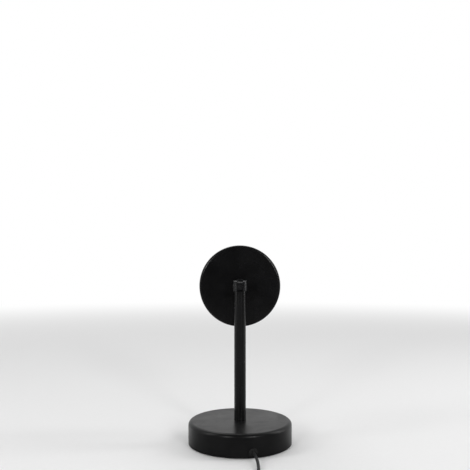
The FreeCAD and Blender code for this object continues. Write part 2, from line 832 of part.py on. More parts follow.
def reflector():
    """Moulded cone from the emitter to the filter, hollowed below for the emitter's plate."""
    mouth = reflector_mouth / 2
    pocket = emitter_side / math.sqrt(2) + loose_gap
    under = reflector_level + emitter_thickness + seat_gap
    body = turned((mouth, under), (pocket, under), (pocket, reflector_level),
                  (optic_radius, reflector_level),
                  (optic_radius, holder_level), (filter_aperture / 2, holder_level))
    return in_head(body)


def led_emitter():
    return in_head(block(Vector(0, 0, reflector_level + emitter_thickness / 2),
                         Vector(emitter_side, emitter_side, emitter_thickness)))


def led_phosphor():
    bottom = reflector_level + emitter_thickness
    return in_head(disc(phosphor_diameter / 2, bottom, bottom + phosphor_thickness))


def led_board():
    hole = disc(engine_screw_diameter / 2 + fit_gap, board_level, reflector_level)
    hole.translate(Vector(engine_screw_circle / 2, 0, 0))
    body = disc(led_board_diameter / 2, board_level, reflector_level)
    return in_head(body.cut(around(hole, engine_screw_count, 30)))


def heat_sink():
    """Round plate with straight fins on its back, clear of the nut, the lead and the screws."""
    radius = heat_sink_diameter / 2
    fins = []
    for number in range(fin_rows_each_side):
        for side in (-1, 1):
            middle = side * (fin_pitch * number + first_fin)
            fins.append(block(Vector(middle, 0, sink_level - fin_height / 2),
                              Vector(fin_thickness, heat_sink_diameter, fin_height)))
    room = ring(radius, fin_pocket_diameter / 2, sink_level - fin_height, sink_level)
    comb = Part.makeCompound(fins).common(room)
    clear = disc(engine_head_diameter / 2 + 2 * loose_gap + fin_thickness / 2,
                 sink_level - fin_height, sink_level)
    hole = disc(engine_screw_diameter / 2 + fit_gap, sink_level, board_level)
    for piece in (clear, hole):
        piece.translate(Vector(engine_screw_circle / 2, 0, 0))
    comb = comb.cut(around(clear, engine_screw_count, 30))
    plate = disc(radius, sink_level, board_level)
    plate = plate.cut(around(hole, engine_screw_count, 30))
    return in_head(plate.fuse(comb.Solids).removeSplitter())


def engine_screws():
    shank = disc(engine_screw_diameter / 2, sink_level, sink_level + engine_screw_length)
    top = sink_level - engine_head_height
    head = disc(engine_head_diameter / 2, top, sink_level)
    socket = six_sided(engine_socket, top, top + engine_socket_depth)
    screw = shank.fuse(head).removeSplitter().cut(socket)
    screw.translate(Vector(engine_screw_circle / 2, 0, 0))
    return in_head(group(around(screw, engine_screw_count, 30)))


def driver_middle():
    return driver_inner_edge + driver_depth / 2


def driver_tape():
    return in_head(block(Vector(0, driver_middle(), head_wall + driver_tape_thickness / 2),
                         Vector(driver_width - 2 * tape_inset, driver_depth - tape_inset,
                                driver_tape_thickness)))


def driver_board():
    return in_head(block(Vector(0, driver_middle(), driver_level + driver_thickness / 2),
                         Vector(driver_width, driver_depth, driver_thickness)))


def driver_terminal():
    bottom = driver_level + driver_thickness
    height = lead_level + cord_radius + terminal_over_lead - bottom
    return in_head(block(Vector(0, driver_inner_edge + terminal_size / 2, bottom + height / 2),
                         Vector(terminal_size, terminal_size, height)))


def driver_coil():
    bottom = driver_level + driver_thickness
    top = bottom + coil_core_height
    rim = coil_core_diameter / 2
    waist = coil_core_waist / 2
    core = turned((0, bottom), (rim, bottom), (rim, bottom + coil_core_flange),
                  (waist, bottom + coil_core_flange),
                  (waist, top - coil_core_flange), (rim, top - coil_core_flange), (rim, top), (0, top))
    core.translate(Vector(-component_offset, driver_middle(), 0))
    return in_head(core)


def driver_capacitor():
    bottom = driver_level + driver_thickness
    top = bottom + can_height
    side = can_diameter / 2
    edge = can_edge_radius
    can = turned((0, bottom), (side, bottom), (side, top - edge),
                 bend((side - edge, top - edge), edge, 0, 90), (0, top))
    can.translate(Vector(component_offset, driver_middle(), 0))
    return in_head(can)


def lead_in_head():
    """The lead from the tongue's arm, through the stud and along the fins to the driver's terminal."""
    start = Vector(0, 0, hinge_screw_diameter / 2 + arm_bore_start + lead_in_arm - head_back)
    radius = head_bend_radius
    corner_start = Vector(0, 0, lead_level - radius)
    corner_end = Vector(0, radius, lead_level)
    through = Vector(0, radius * (1 - math.sqrt(0.5)), lead_level - radius * (1 - math.sqrt(0.5)))
    end = Vector(0, driver_inner_edge, lead_level)
    path = Part.Wire([Part.LineSegment(start, corner_start).toShape(),
                      Part.Arc(corner_start, through, corner_end).toShape(),
                      Part.LineSegment(corner_end, end).toShape()])
    return in_head(tube_on(path, cord_radius, start, Vector(0, 0, 1), "lead_in_head"))


def led_wires():
    """Two wires from the driver, past the heat sink's edge, down onto the emitter board's pads."""
    radius = wire_diameter / 2
    bottom = driver_level + driver_thickness
    top = reflector_level + wire_rise
    outside = heat_sink_diameter / 2 + wire_from_sink
    wires = []
    for side in (-1, 1):
        x = side * (terminal_size / 2 + wire_from_terminal)
        points = [Vector(x, outside, bottom),
                  Vector(x, outside, top),
                  Vector(x, wire_pad, top),
                  Vector(x, wire_pad, reflector_level)]
        wires.append(cord(points, "led wire", radius))
    return in_head(group(wires))


# ---- Free cord -----------------------------------------------------------------------------------
def lead_start():
    return exit_way() * (base_radius + grommet_out) + Vector(0, 0, cord_exit_height)


def coil_level():
    return tie_thickness + tie_gap + cord_radius


def coil_start_radius():
    return coil_inner_radius + coil_pitch * coil_quarters[0] / 4


def coil_places():
    """Place and direction at each quarter turn: the layers spiral in and out, anticlockwise from above."""
    reversals = [sum(coil_quarters[:layer + 1]) for layer in range(len(coil_quarters) - 1)]
    total = sum(coil_quarters)
    places = []
    for quarter in range(total + 1):
        passed = sum(1 for reversal in reversals if quarter > reversal)
        at_reversal = quarter in reversals
        inward = passed % 2 == 0
        if inward:
            nearest = reversals[passed] if passed < len(reversals) else total
            radius = coil_inner_radius + coil_pitch * (nearest - quarter) / 4
        else:
            radius = coil_inner_radius + coil_pitch * (quarter - reversals[passed - 1]) / 4
        height = coil_level() + coil_layer_pitch * (passed + (0.5 if at_reversal else 0))
        turn = math.radians(180 + 90 * quarter)
        outward = Vector(math.cos(turn), math.sin(turn), 0)
        forward = Vector(-math.sin(turn), math.cos(turn), 0)
        way = forward * radius
        if at_reversal:
            way += Vector(0, 0, coil_layer_pitch / 2)
        elif 0 < quarter < total:
            way += outward * (coil_pitch / (2 * math.pi) * (-1 if inward else 1))
        places.append((coil_centre + outward * radius + Vector(0, 0, height), way.normalize()))
    return places


def coil_gap(edges):
    """Least gap of the coil to itself, on points along its middle line."""
    step = 0.8
    points = []
    for edge in edges:
        points += edge.discretize(Number=max(3, int(edge.Length / step)))[:-1]
    apart = int(4 * cord_diameter / step)
    least = min(points[i].distanceToPoint(points[j])
                for i in range(len(points)) for j in range(i + apart, len(points)))
    return least - cord_diameter


def lead_coil():
    places = coil_places()
    first, first_way = places[0]
    last, last_way = places[-1]
    start = first - first_way * cord_diameter
    end = last + last_way * cord_diameter
    edges = [Part.LineSegment(start, first).toShape()]
    for (here, here_way), (there, there_way) in zip(places, places[1:]):
        edges += [arc.toShape() for arc in biarc(here, here_way, there, there_way)]
    edges.append(Part.LineSegment(last, end).toShape())
    path = Part.Wire(edges)
    print("coil least gap to itself", round(coil_gap(edges), 2))
    return tube_on(path, cord_radius, start, first_way, "lead_coil")


def lead_to_coil():
    way = exit_way()
    start = lead_start()
    places = coil_places()
    end = places[0][0] - places[0][1] * cord_diameter
    edge = Vector(0, -base_radius, 0)
    return cord([start,
                 start + way * first_run,
                 edge + Vector(17.0, -31.0, floor_level),
                 edge + Vector(14.0, -58.0, floor_level),
                 end + Vector(0, 19.0, 0),
                 end], "lead_to_coil")


def lead_coil_to_switch():
    places = coil_places()
    start = places[-1][0] + places[-1][1] * cord_diameter
    end = switch_place + Vector(0, 0, switch_height / 2)
    return cord([start,
                 start + Vector(-14.0, 0, 0),
                 coil_centre + Vector(-37.0, 22.4, 8.4),
                 coil_centre + Vector(-55.0, 24.2, 3.4),
                 coil_centre + Vector(-64.5, 22.4, 2.6),
                 end + Vector(1.8, 15.6, -1.8),
                 end + Vector(0, 6.0, 0),
                 end], "lead_coil_to_switch")


def lead_switch_to_plug():
    start = switch_place + Vector(0, -switch_length, switch_height / 2)
    end = plug_place + Vector(0, 0, plug_body_height / 2)
    return cord([start,
                 start + Vector(0, -9.0, 0),
                 start + Vector(4.4, -19.6, -1.8),
                 start + Vector(switch_to_plug / 2, -24.0, floor_level + 0.1 - start.z),
                 end + Vector(-4.4, -19.6, -1.65),
                 end + Vector(0, -9.0, 0),
                 end], "lead_switch_to_plug")


def cord_tie():
    """Flat strap round the bundle of turns, square to them."""
    inner = math.sqrt((coil_inner_radius - cord_radius) ** 2 - (tie_width / 2) ** 2) - tie_gap
    outer = coil_start_radius() + cord_radius + tie_gap
    bottom = tie_thickness
    top = coil_level() + (len(coil_quarters) - 1) * coil_layer_pitch + cord_radius + tie_gap
    middle = Vector((inner + outer) / 2, 0, (bottom + top) / 2)
    hole = Vector(outer - inner, tie_width, top - bottom)
    full = hole + Vector(2 * tie_thickness, 0, 2 * tie_thickness)
    corner = cord_radius + tie_gap
    strap = rounded_bar(middle, full, corner + tie_thickness)
    strap = strap.cut(rounded_bar(middle, hole + Vector(0, tie_width, 0), corner))
    strap.rotate(Vector(), Vector(0, 0, 1), -90)
    strap.translate(coil_centre)
    return strap


def rounded_bar(middle, size, radius):
    bar = block(middle, size)
    return bar.makeFillet(radius, [e for e in bar.Edges if abs(e.BoundBox.YLength - size.y) < 0.01])


# ---- In-line switch ------------------------------------------------------------------------------
def switch_outline(inset, bottom, top):
    """Long rounded body along Y, drawn in a little at its ends."""
    half_width = switch_width / 2 - inset
    length = switch_length - 2 * inset
    middle = switch_place + Vector(0, -switch_length / 2, (bottom + top) / 2)
    body = block(middle, Vector(2 * half_width, length, top - bottom))
    return body.makeFillet(switch_corner_radius - inset / 2,
                           [e for e in body.Edges if abs(e.BoundBox.ZLength - (top - bottom)) < 0.01])


def switch_screw_places():
    middle = switch_place + Vector(0, -switch_length / 2, 0)
    return [middle + Vector(0, side * (switch_length / 2 - switch_screw_inset), 0) for side in (-1, 1)]


def switch_top():
    half = switch_height / 2
    body = switch_outline(0, half, switch_height)
    body = body.makeFillet(switch_top_radius, [e for e in body.Edges
                                               if e.BoundBox.ZMin > switch_height - 0.01])
    room = switch_outline(switch_wall, half, switch_height - switch_wall)
    ends = end_blocks(half, switch_height - switch_wall)
    middle = switch_place + Vector(0, -switch_length / 2, 0)
    hole = rod(button_diameter / 2 + button_gap, middle + Vector(0, 0, half),
               middle + Vector(0, 0, 2 * switch_height))
    threads = [rod(switch_screw_diameter / 2 + fit_gap, place + Vector(0, 0, half),
                   place + Vector(0, 0, half + switch_screw_in_top + fit_gap))
               for place in switch_screw_places()]
    return body.cut(room.cut(ends)).cut([hole] + threads)


def switch_bottom():
    half = switch_height / 2
    body = switch_outline(0, 0, half)
    body = body.makeFillet(switch_bottom_radius, [e for e in body.Edges if e.BoundBox.ZMax < 0.01])
    room = switch_outline(switch_wall, switch_wall, half)
    ends = end_blocks(switch_wall, half)
    holes = [rod(switch_screw_diameter / 2 + fit_gap, place, place + Vector(0, 0, half))
             for place in switch_screw_places()]
    sinks = [rod(switch_screw_head / 2 + seat_gap, place, place + Vector(0, 0, switch_screw_seat()))
             for place in switch_screw_places()]
    return body.cut(room.cut(ends)).cut(holes + sinks)


def end_blocks(bottom, top):
    """The solid ends that grip the cord and take the screws."""
    room = switch_length - 2 * (switch_screw_inset + switch_screw_diameter / 2 + 1.5 * switch_wall)
    middle = switch_place + Vector(0, -switch_length / 2, (bottom + top) / 2)
    whole = block(middle, Vector(switch_width, switch_length, top - bottom))
    return whole.cut(block(middle, Vector(2 * switch_width, room, top - bottom)))


def switch_screw_seat():
    return switch_screw_sunk + switch_screw_head_height


def switch_screws():
    screws = []
    for place in switch_screw_places():
        bottom = place + Vector(0, 0, switch_screw_sunk)
        shank = rod(switch_screw_diameter / 2, bottom,
                    place + Vector(0, 0, switch_height / 2 + switch_screw_in_top))
        head = rod(switch_screw_head / 2, bottom, place + Vector(0, 0, switch_screw_seat()))
        screws.append(shank.fuse(head).removeSplitter())
    return group(screws)


def button_flange_bottom():
    return switch_height - switch_wall - button_gap - button_flange


def switch_unit():
    """Latching contact unit under the button, which just clears it at the end of its travel."""
    height = button_flange_bottom() - button_travel - loose_gap - switch_wall
    middle = switch_place + Vector(0, -switch_length / 2, switch_wall + height / 2)
    return block(middle, Vector(unit_side, unit_side, height))


def switch_button():
    """Domed round button with a flange that keeps it in."""
    flange_bottom = button_flange_bottom()
    flange_top = flange_bottom + button_flange
    radius = button_diameter / 2
    top = switch_height + button_stands
    dome = (radius ** 2 + button_dome ** 2) / (2 * button_dome)
    side = math.degrees(math.asin(radius / dome))
    rim = radius + button_flange_width
    body = turned((0, flange_bottom), (rim, flange_bottom), (rim, flange_top),
                  (radius, flange_top), (radius, top - button_dome),
                  bend((0, top - dome), dome, 90 - side, 90))
    body.translate(switch_place + Vector(0, -switch_length / 2, 0))
    return body


# ---- Plug ----------------------------------------------------------------------------------------
def plug_middle(y):
    return plug_place + Vector(0, y, plug_body_height / 2)


def plug_overmould():
    start = plug_relief_length
    body = block(plug_middle(start + plug_body_length / 2),
                 Vector(plug_body_width, plug_body_length, plug_body_height))
    body = body.makeFillet(plug_edge_radius, [e for e in body.Edges
                                              if abs(e.BoundBox.YLength - plug_body_length) < 0.01])
    middle = plug_relief_diameter / 2
    relief = Part.makeCone(middle - plug_relief_taper, middle + plug_relief_taper, plug_relief_length,
                           plug_middle(0), Vector(0, 1, 0))
    pocket = block(plug_middle(start + plug_body_length - usb_in / 2),
                   Vector(usb_width + 2 * fit_gap, usb_in, usb_height + 2 * fit_gap))
    return body.fuse(relief).removeSplitter().cut(pocket)


def plug_shell():
    """Folded steel tube with two latch windows in each broad side."""
    start = plug_relief_length + plug_body_length - usb_in
    length = usb_in + usb_out
    middle = plug_middle(start + length / 2)
    body = block(middle, Vector(usb_width, length, usb_height))
    hollow = block(middle, Vector(usb_width - 2 * usb_wall, length, usb_height - 2 * usb_wall))
    row = plug_middle(start + usb_in + usb_window_start + usb_window / 2)
    size = Vector(usb_window, usb_window, usb_height)
    windows = [block(row + Vector(side * usb_window_offset, 0, 0), size) for side in (-1, 1)]
    return body.cut([hollow] + windows)


def insulator_top():
    return plug_body_height / 2 - usb_height / 2 + usb_wall + usb_tongue_height


def plug_insulator():
    start = plug_relief_length + plug_body_length - usb_in + fit_gap
    length = usb_in + usb_out - usb_tongue_back
    middle = plug_place + Vector(0, start + length / 2, insulator_top() - usb_tongue_height / 2)
    return block(middle, Vector(usb_width - 2 * usb_wall - 2 * fit_gap, length, usb_tongue_height))


def plug_contacts():
    middle = Vector(0, plug_relief_length + plug_body_length + usb_contact_start + usb_contact_length / 2,
                    insulator_top() + usb_contact_thickness / 2)
    size = Vector(usb_contact_width, usb_contact_length, usb_contact_thickness)
    strips = []
    for number in range(usb_contact_count):
        aside = (number - (usb_contact_count - 1) / 2) * usb_contact_pitch
        strips.append(block(plug_place + middle + Vector(aside, 0, 0), size))
    return group(strips)


# ---- The whole lamp ------------------------------------------------------------------------------
pieces = [
    base_shell, base_weight, base_cover, base_pad, cover_screws, cord_grommet, cord_clamp, clamp_screws,
    lead_in_base, stem_nipple, nipple_washer, nipple_nut, stem_tube, knuckle_fork, hinge_screw, hinge_nut,
    friction_washers, knuckle_tongue, head_shell, head_washer, head_nut, head_bezel, bezel_screws, lens,
    lens_gasket, lens_ring, lens_spacer, filter_holder, filter_glass, reflector, led_emitter,
    led_phosphor, led_board, heat_sink, engine_screws, driver_tape, driver_board, driver_terminal,
    driver_coil, driver_capacitor, lead_in_head, led_wires, lead_to_coil, lead_coil,
    lead_coil_to_switch, lead_switch_to_plug, cord_tie, switch_top, switch_bottom, switch_screws,
    switch_unit, switch_button, plug_overmould, plug_shell, plug_insulator, plug_contacts]

for make_piece in pieces:
    shape = make_piece()
    name = make_piece.__name__
    print(name, "solids", len(shape.Solids), "valid", shape.isValid(), "faces", len(shape.Faces))
    shape.exportStep("parts/" + name + ".step")
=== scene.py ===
import math

import bpy
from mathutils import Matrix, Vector


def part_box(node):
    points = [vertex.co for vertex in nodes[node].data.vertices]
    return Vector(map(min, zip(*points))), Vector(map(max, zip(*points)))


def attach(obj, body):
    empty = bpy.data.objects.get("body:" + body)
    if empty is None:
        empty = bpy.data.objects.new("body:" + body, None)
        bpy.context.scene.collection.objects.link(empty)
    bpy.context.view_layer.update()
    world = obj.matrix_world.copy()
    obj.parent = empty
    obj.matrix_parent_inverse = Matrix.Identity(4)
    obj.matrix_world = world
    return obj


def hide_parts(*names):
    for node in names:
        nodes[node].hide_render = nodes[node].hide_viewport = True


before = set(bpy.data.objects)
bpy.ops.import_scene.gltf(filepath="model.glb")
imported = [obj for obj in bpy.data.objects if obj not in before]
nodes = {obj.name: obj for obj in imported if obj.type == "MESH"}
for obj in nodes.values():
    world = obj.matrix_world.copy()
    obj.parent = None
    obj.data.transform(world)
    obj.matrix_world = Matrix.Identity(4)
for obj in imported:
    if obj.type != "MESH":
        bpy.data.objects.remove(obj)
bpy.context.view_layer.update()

# ---- Room, light and camera ----------------------------------------------------------------------------
# A pale floor fades into a white surround, and the camera stands behind the lamp. The main light comes from
# the far side, along +Y, with tall softboxes and windows at the sides. Gloss sees a graded room: bright
# beyond the lamp, dim behind the camera, and a share of it in place of the floor near the lamp.
floor_half_width = 12.0
fade_start = 0.45           # distance from the lamp at which the floor begins to turn into the surround
fade_end = 2.2              # and at which it has turned
dim_side = 0.05             # how bright gloss shows the room behind the camera
far_side = 0.80             # and the far side of it
fill_level = 0.26           # of the even light from all round
floor_in_gloss = 0.6        # share of the surround that gloss shows in place of the floor near the lamp
lit_point = Vector((0, 0, 0.1))     # where the lights are turned to
picture_width = 470         # pixels, of the photograph
focal_length = 611.3        # pixels, fitted with the camera's place and tilt
camera_tilt = 2.18          # degrees, upwards


def wire(tree, kind, sockets=None, **settings):
    """A shader node with its settings, its sockets filled with values or joined to other sockets."""
    node = tree.nodes.new(kind)
    for setting, value in settings.items():
        setattr(node, setting, value)
    for socket, value in (sockets or {}).items():
        if isinstance(value, bpy.types.NodeSocket):
            tree.links.new(value, node.inputs[socket])
        else:
            node.inputs[socket].default_value = value
    return node


def maths(tree, operation, *values, clamp=False):
    return wire(tree, "ShaderNodeMath", dict(enumerate(values)), operation=operation,
                use_clamp=clamp).outputs[0]


def spread(tree, value, low, high, to_low=0.0, to_high=1.0):
    """Stretches a value's range."""
    return wire(tree, "ShaderNodeMapRange", {"Value": value, "From Min": low, "From Max": high,
                                             "To Min": to_low, "To Max": to_high}).outputs["Result"]


def noise(tree, place, scale, detail, roughness=0.5, distortion=0.0):
    return wire(tree, "ShaderNodeTexNoise", {"Vector": place, "Scale": scale, "Detail": detail,
                                             "Roughness": roughness, "Distortion": distortion}).outputs["Fac"]


def mixed(tree, share, first, second):
    """A colour between two."""
    return wire(tree, "ShaderNodeMix", {"Factor": share, "A": first, "B": second},
                data_type="RGBA").outputs["Result"]


def new_material(name):
    material = bpy.data.materials.new(name)
    material.use_nodes = True
    return material, material.node_tree, material.node_tree.nodes["Principled BSDF"]


def surround(tree, direction):
    """How bright the surround looks: white to the camera and through glass, graded from side to side in
    gloss. Also the share of rays that see it."""
    ray = wire(tree, "ShaderNodeLightPath").outputs
    along = wire(tree, "ShaderNodeSeparateXYZ", {0: direction}).outputs["Y"]
    graded = spread(tree, along, -0.35, 0.45, dim_side, far_side)
    whole = maths(tree, "MAXIMUM", ray["Is Camera Ray"], ray["Is Transmission Ray"])
    bright = maths(tree, "MAXIMUM", whole, maths(tree, "MULTIPLY", graded, ray["Is Glossy Ray"]))
    return bright, maths(tree, "MAXIMUM", whole, ray["Is Glossy Ray"])


bpy.ops.mesh.primitive_plane_add(size=2 * floor_half_width, location=(0, 0, 0))
floor = bpy.context.object
floor.name = "floor"

floor_paper, tree, shader = new_material("floor_paper")
place = wire(tree, "ShaderNodeTexCoord").outputs["Object"]
fibres = noise(tree, place, 220.0, 3.0)
tone = mixed(tree, fibres, (0.80, 0.80, 0.80, 1), (0.83, 0.83, 0.83, 1))
tree.links.new(tone, shader.inputs["Base Color"])
shader.inputs["Roughness"].default_value = 0.85
shader.inputs["Specular IOR Level"].default_value = 0.2
away = wire(tree, "ShaderNodeVectorMath", {0: place}, operation="LENGTH").outputs["Value"]
far = wire(tree, "ShaderNodeMapRange", {"Value": away, "From Min": fade_start, "From Max": fade_end},
           interpolation_type="SMOOTHSTEP").outputs["Result"]
outward = wire(tree, "ShaderNodeVectorMath", {0: place}, operation="NORMALIZE").outputs["Vector"]
bright, seen = surround(tree, outward)
glossy = wire(tree, "ShaderNodeLightPath").outputs["Is Glossy Ray"]
share = maths(tree, "MAXIMUM", maths(tree, "MULTIPLY", seen, far),
              maths(tree, "MULTIPLY", glossy, floor_in_gloss))
white = wire(tree, "ShaderNodeEmission", {"Color": (1, 1, 1, 1), "Strength": bright})
blend = wire(tree, "ShaderNodeMixShader", {0: share, 1: shader.outputs["BSDF"],
                                           2: white.outputs["Emission"]})
tree.links.new(blend.outputs["Shader"], tree.nodes["Material Output"].inputs["Surface"])
floor.data.materials.append(floor_paper)

world = bpy.data.worlds.new("studio")
bpy.context.scene.world = world
world.use_nodes = True
tree = world.node_tree
sky = tree.nodes["Background"]
bright, seen = surround(tree, wire(tree, "ShaderNodeTexCoord").outputs["Generated"])
level = maths(tree, "ADD", bright, spread(tree, seen, 0.0, 1.0, fill_level, 0.0))
tree.links.new(level, sky.inputs["Strength"])
sky.inputs["Color"].default_value = (1.0, 1.0, 1.0, 1)

for name, position, size, power in (("right softbox", (1.10, 0.12, 0.62), (0.22, 1.1), 6.0),
                                    ("left softbox", (-1.15, -0.35, 0.60), (0.22, 1.1), 4.6),
                                    ("high right window", (0.68, -1.36, 0.60), (0.22, 0.44), 8.0),
                                    ("high left window", (-0.72, -1.36, 0.57), (0.20, 0.34), 6.0),
                                    ("main softbox", (-0.15, 0.75, 1.55), (1.3, 1.3), 12.6)):
    light = bpy.data.lights.new(name, "AREA")
    light.shape = "RECTANGLE"
    light.size, light.size_y = size
    light.energy = power
    softbox = bpy.data.objects.new(name, light)
    softbox.location = position
    softbox.rotation_euler = (lit_point - Vector(position)).to_track_quat("-Z", "Y").to_euler()
    bpy.context.scene.collection.objects.link(softbox)

bpy.context.scene.view_settings.view_transform = "Standard"
eye = bpy.data.cameras.new("eye")
eye.sensor_width = 36.0
eye.lens = focal_length / picture_width * eye.sensor_width
camera = bpy.data.objects.new("eye", eye)
camera.location = (-0.0054, -0.660, 0.1964)
camera.rotation_euler = (math.radians(90 + camera_tilt), 0, 0)
bpy.context.scene.collection.objects.link(camera)
bpy.context.scene.camera = camera

# ---- Finishes: what every surface of the lamp shares ---------------------------------------------------
# Handled edges lose a little of their finish and are never quite sharp. Each material below takes this
# group with its own radius and its own worn colour, and its grain and clouding from a skin.
MM = 0.001


def effect(name, inputs, outputs):
    """An empty shader group with named inputs and outputs."""
    group = bpy.data.node_groups.new(name, "ShaderNodeTree")
    for direction, sockets in (("INPUT", inputs), ("OUTPUT", outputs)):
        for socket in sockets:
            kind = "NodeSocketVector" if socket in ("Place", "Normal") else "NodeSocketFloat"
            group.interface.new_socket(name=socket, in_out=direction, socket_type=kind)
    return group, group.nodes.new("NodeGroupInput").outputs, group.nodes.new("NodeGroupOutput").inputs


rubbed_edges, given, result = effect("rubbed_edges", ["Place", "Radius"], ["Mask", "Normal"])
softened = wire(rubbed_edges, "ShaderNodeBevel", {"Radius": given["Radius"]}, samples=4).outputs["Normal"]
flat = wire(rubbed_edges, "ShaderNodeNewGeometry").outputs["Normal"]
likeness = wire(rubbed_edges, "ShaderNodeVectorMath", {0: softened, 1: flat},
                operation="DOT_PRODUCT").outputs["Value"]
edge = spread(rubbed_edges, likeness, 0.995, 0.90)
patches = spread(rubbed_edges, noise(rubbed_edges, given["Place"], 260.0, 4.0), 0.42, 0.62)
rubbed_edges.links.new(maths(rubbed_edges, "MULTIPLY", edge, patches, clamp=True), result["Mask"])
rubbed_edges.links.new(softened, result["Normal"])


def place_of(tree, turn=(0, 0, 0), middle=(0, 0, 0)):
    """Object coordinates, taken from a middle in millimetres and turned by degrees."""
    coordinates = wire(tree, "ShaderNodeTexCoord").outputs["Object"]
    moved = wire(tree, "ShaderNodeVectorMath", {0: coordinates, 1: [c * MM for c in middle]},
                 operation="SUBTRACT").outputs["Vector"]
    return wire(tree, "ShaderNodeMapping", {"Vector": moved, "Rotation": [math.radians(a) for a in turn]},
                vector_type="POINT").outputs["Vector"]


def finish(name, skin, size, depth, colours, rough, edge=0.25, place=None, **sockets):
    """Material with a skin's grain and clouding, soft rubbed edges, and plain values on its shader.
    colours are the clean tone, the clouded tone and the rubbed edge; size, depth and edge are in mm."""
    material, tree, shader = new_material(name)
    at = place_of(tree, **(place or {}))
    grain = wire(tree, "ShaderNodeGroup", {"Place": at, "Size": size * MM}, node_tree=skin).outputs
    edges = wire(tree, "ShaderNodeGroup", {"Place": at, "Radius": edge * MM}, node_tree=rubbed_edges).outputs
    clean, clouded, bare = ([*colour, 1] for colour in colours)
    tone = mixed(tree, edges["Mask"], mixed(tree, grain["Cloud"], clean, clouded), bare)
    tree.links.new(tone, shader.inputs["Base Color"])
    tree.links.new(spread(tree, grain["Cloud"], 0, 1, *rough), shader.inputs["Roughness"])
    relief = wire(tree, "ShaderNodeBump", {"Height": grain["Height"], "Distance": depth * MM,
                                           "Strength": 1.0, "Normal": edges["Normal"]})
    tree.links.new(relief.outputs["Normal"], shader.inputs["Normal"])
    for socket, value in sockets.items():
        shader.inputs[socket.replace("_", " ")].default_value = value
    return material


# ---- Lead jacket ---------------------------------------------------------------------------------------
# Soft black PVC, extruded: a low satin sheen with faint ripples, and dust that clings in patches. The
# moulded plastic and rubber pieces take their grain from the same skin.
def start_skin(name):
    """A group for a skin's grain and clouding, with its place and the fineness of its grain."""
    group, given, result = effect(name, ["Place", "Size"], ["Height", "Cloud"])
    return group, given["Place"], maths(group, "DIVIDE", 1.0, given["Size"]), result


def end_skin(group, result, height, clouds, low, high):
    """Joins a skin's relief, and its clouds between two levels of their noise."""
    group.links.new(height, result["Height"])
    group.links.new(spread(group, clouds, low, high), result["Cloud"])


def cells(tree, place, scale, feature="F1"):
    return wire(tree, "ShaderNodeTexVoronoi", {"Vector": place, "Scale": scale},
                feature=feature).outputs["Distance"]


moulded_skin, at, fine, result = start_skin("moulded_skin")
height = maths(moulded_skin, "MULTIPLY_ADD", cells(moulded_skin, at, fine, "SMOOTH_F1"), 0.6,
               noise(moulded_skin, at, fine, 3.0))
end_skin(moulded_skin, result, height, noise(moulded_skin, at, 70.0, 5.0, roughness=0.6), 0.35, 0.68)

jacket = finish("lead_jacket", moulded_skin, 0.5, 0.02, ((0.012, 0.012, 0.013), (0.020, 0.020, 0.021),
                                                         (0.022, 0.022, 0.023)), (0.38, 0.52),
                edge=0.1, Specular_IOR_Level=0.4)

# ---- Power lead ----------------------------------------------------------------------------------------
# Thin black two-core USB lead in soft PVC. It leaves the base low at the back, lies on the table and is
# put away in a tied coil, with the press switch and the plug after it.
cord_diameter = 3.0
coil_middle = Vector((31.0, -161.0, 0))
coil_inner_radius = 12.44
coil_pitch = 3.5
coil_layer_pitch = 3.5
coil_level = 2.4
coil_quarters = (11, 11, 11, 10)    # quarter turns in each layer
coil_steps = 4              # control points in each quarter turn
coil_start_angle = 180.0


def lead_curve(name, points, diameter, material, body="stand", facets=5, steps=6):
    """A round lead on a smooth spline, steered by points in millimetres."""
    data = bpy.data.curves.new(name, "CURVE")
    data.materials.append(material)
    data.dimensions = "3D"
    data.bevel_depth = diameter / 2 * MM
    data.bevel_resolution = facets
    data.resolution_u = steps
    data.use_fill_caps = True
    line = data.splines.new("NURBS")
    line.points.add(len(points) - 1)
    for point, (x, y, z) in zip(line.points, points):
        point.co = (x * MM, y * MM, z * MM, 1.0)
    line.order_u = 3
    line.use_endpoint_u = True
    line.use_smooth = True
    lead = bpy.data.objects.new(name, data)
    bpy.context.scene.collection.objects.link(lead)
    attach(lead, body)
    return lead


def coil_points():
    """Turns that spiral in and out, layer on layer, anticlockwise from above."""
    reversals = [sum(coil_quarters[:layer + 1]) for layer in range(len(coil_quarters) - 1)]
    swell = 1 / math.cos(math.pi / (4 * coil_steps))
    points = []
    for step in range(sum(coil_quarters) * coil_steps + 1):
        quarter = step / coil_steps
        layer = sum(1 for reversal in reversals if quarter > reversal)
        done = quarter - ([0] + reversals)[layer]
        if layer % 2 == 0:
            done = coil_quarters[layer] - done
        radius = (coil_inner_radius + coil_pitch * done / 4) * swell
        rise = sum(min(max((quarter - reversal + 1) / 2, 0), 1) for reversal in reversals)
        turn = math.radians(coil_start_angle + 90 * quarter)
        points.append((coil_middle.x + radius * math.cos(turn), coil_middle.y + radius * math.sin(turn),
                       coil_level + coil_layer_pitch * rise))
    return points


lead_exit = (12.714, -55.07, 6.0)
main_lead = lead_curve("power_lead", [
    lead_exit, (15.30, -66.26, 6.0), (17.0, -86.0, 1.6), (14.0, -113.0, 1.6), (8.935, -139.0, 2.4),
    (8.935, -158.0, 2.4)] + coil_points() + [
    (28.0, -139.81, 12.9), (14.0, -139.81, 12.9), (-6.0, -138.6, 8.4), (-24.0, -136.8, 3.4),
    (-33.5, -138.6, 2.6), (-41.2, -145.4, 3.2), (-43.0, -155.0, 5.0), (-43.0, -161.0, 5.0)],
    cord_diameter, jacket)
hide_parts("lead_to_coil", "lead_coil", "lead_coil_to_switch")

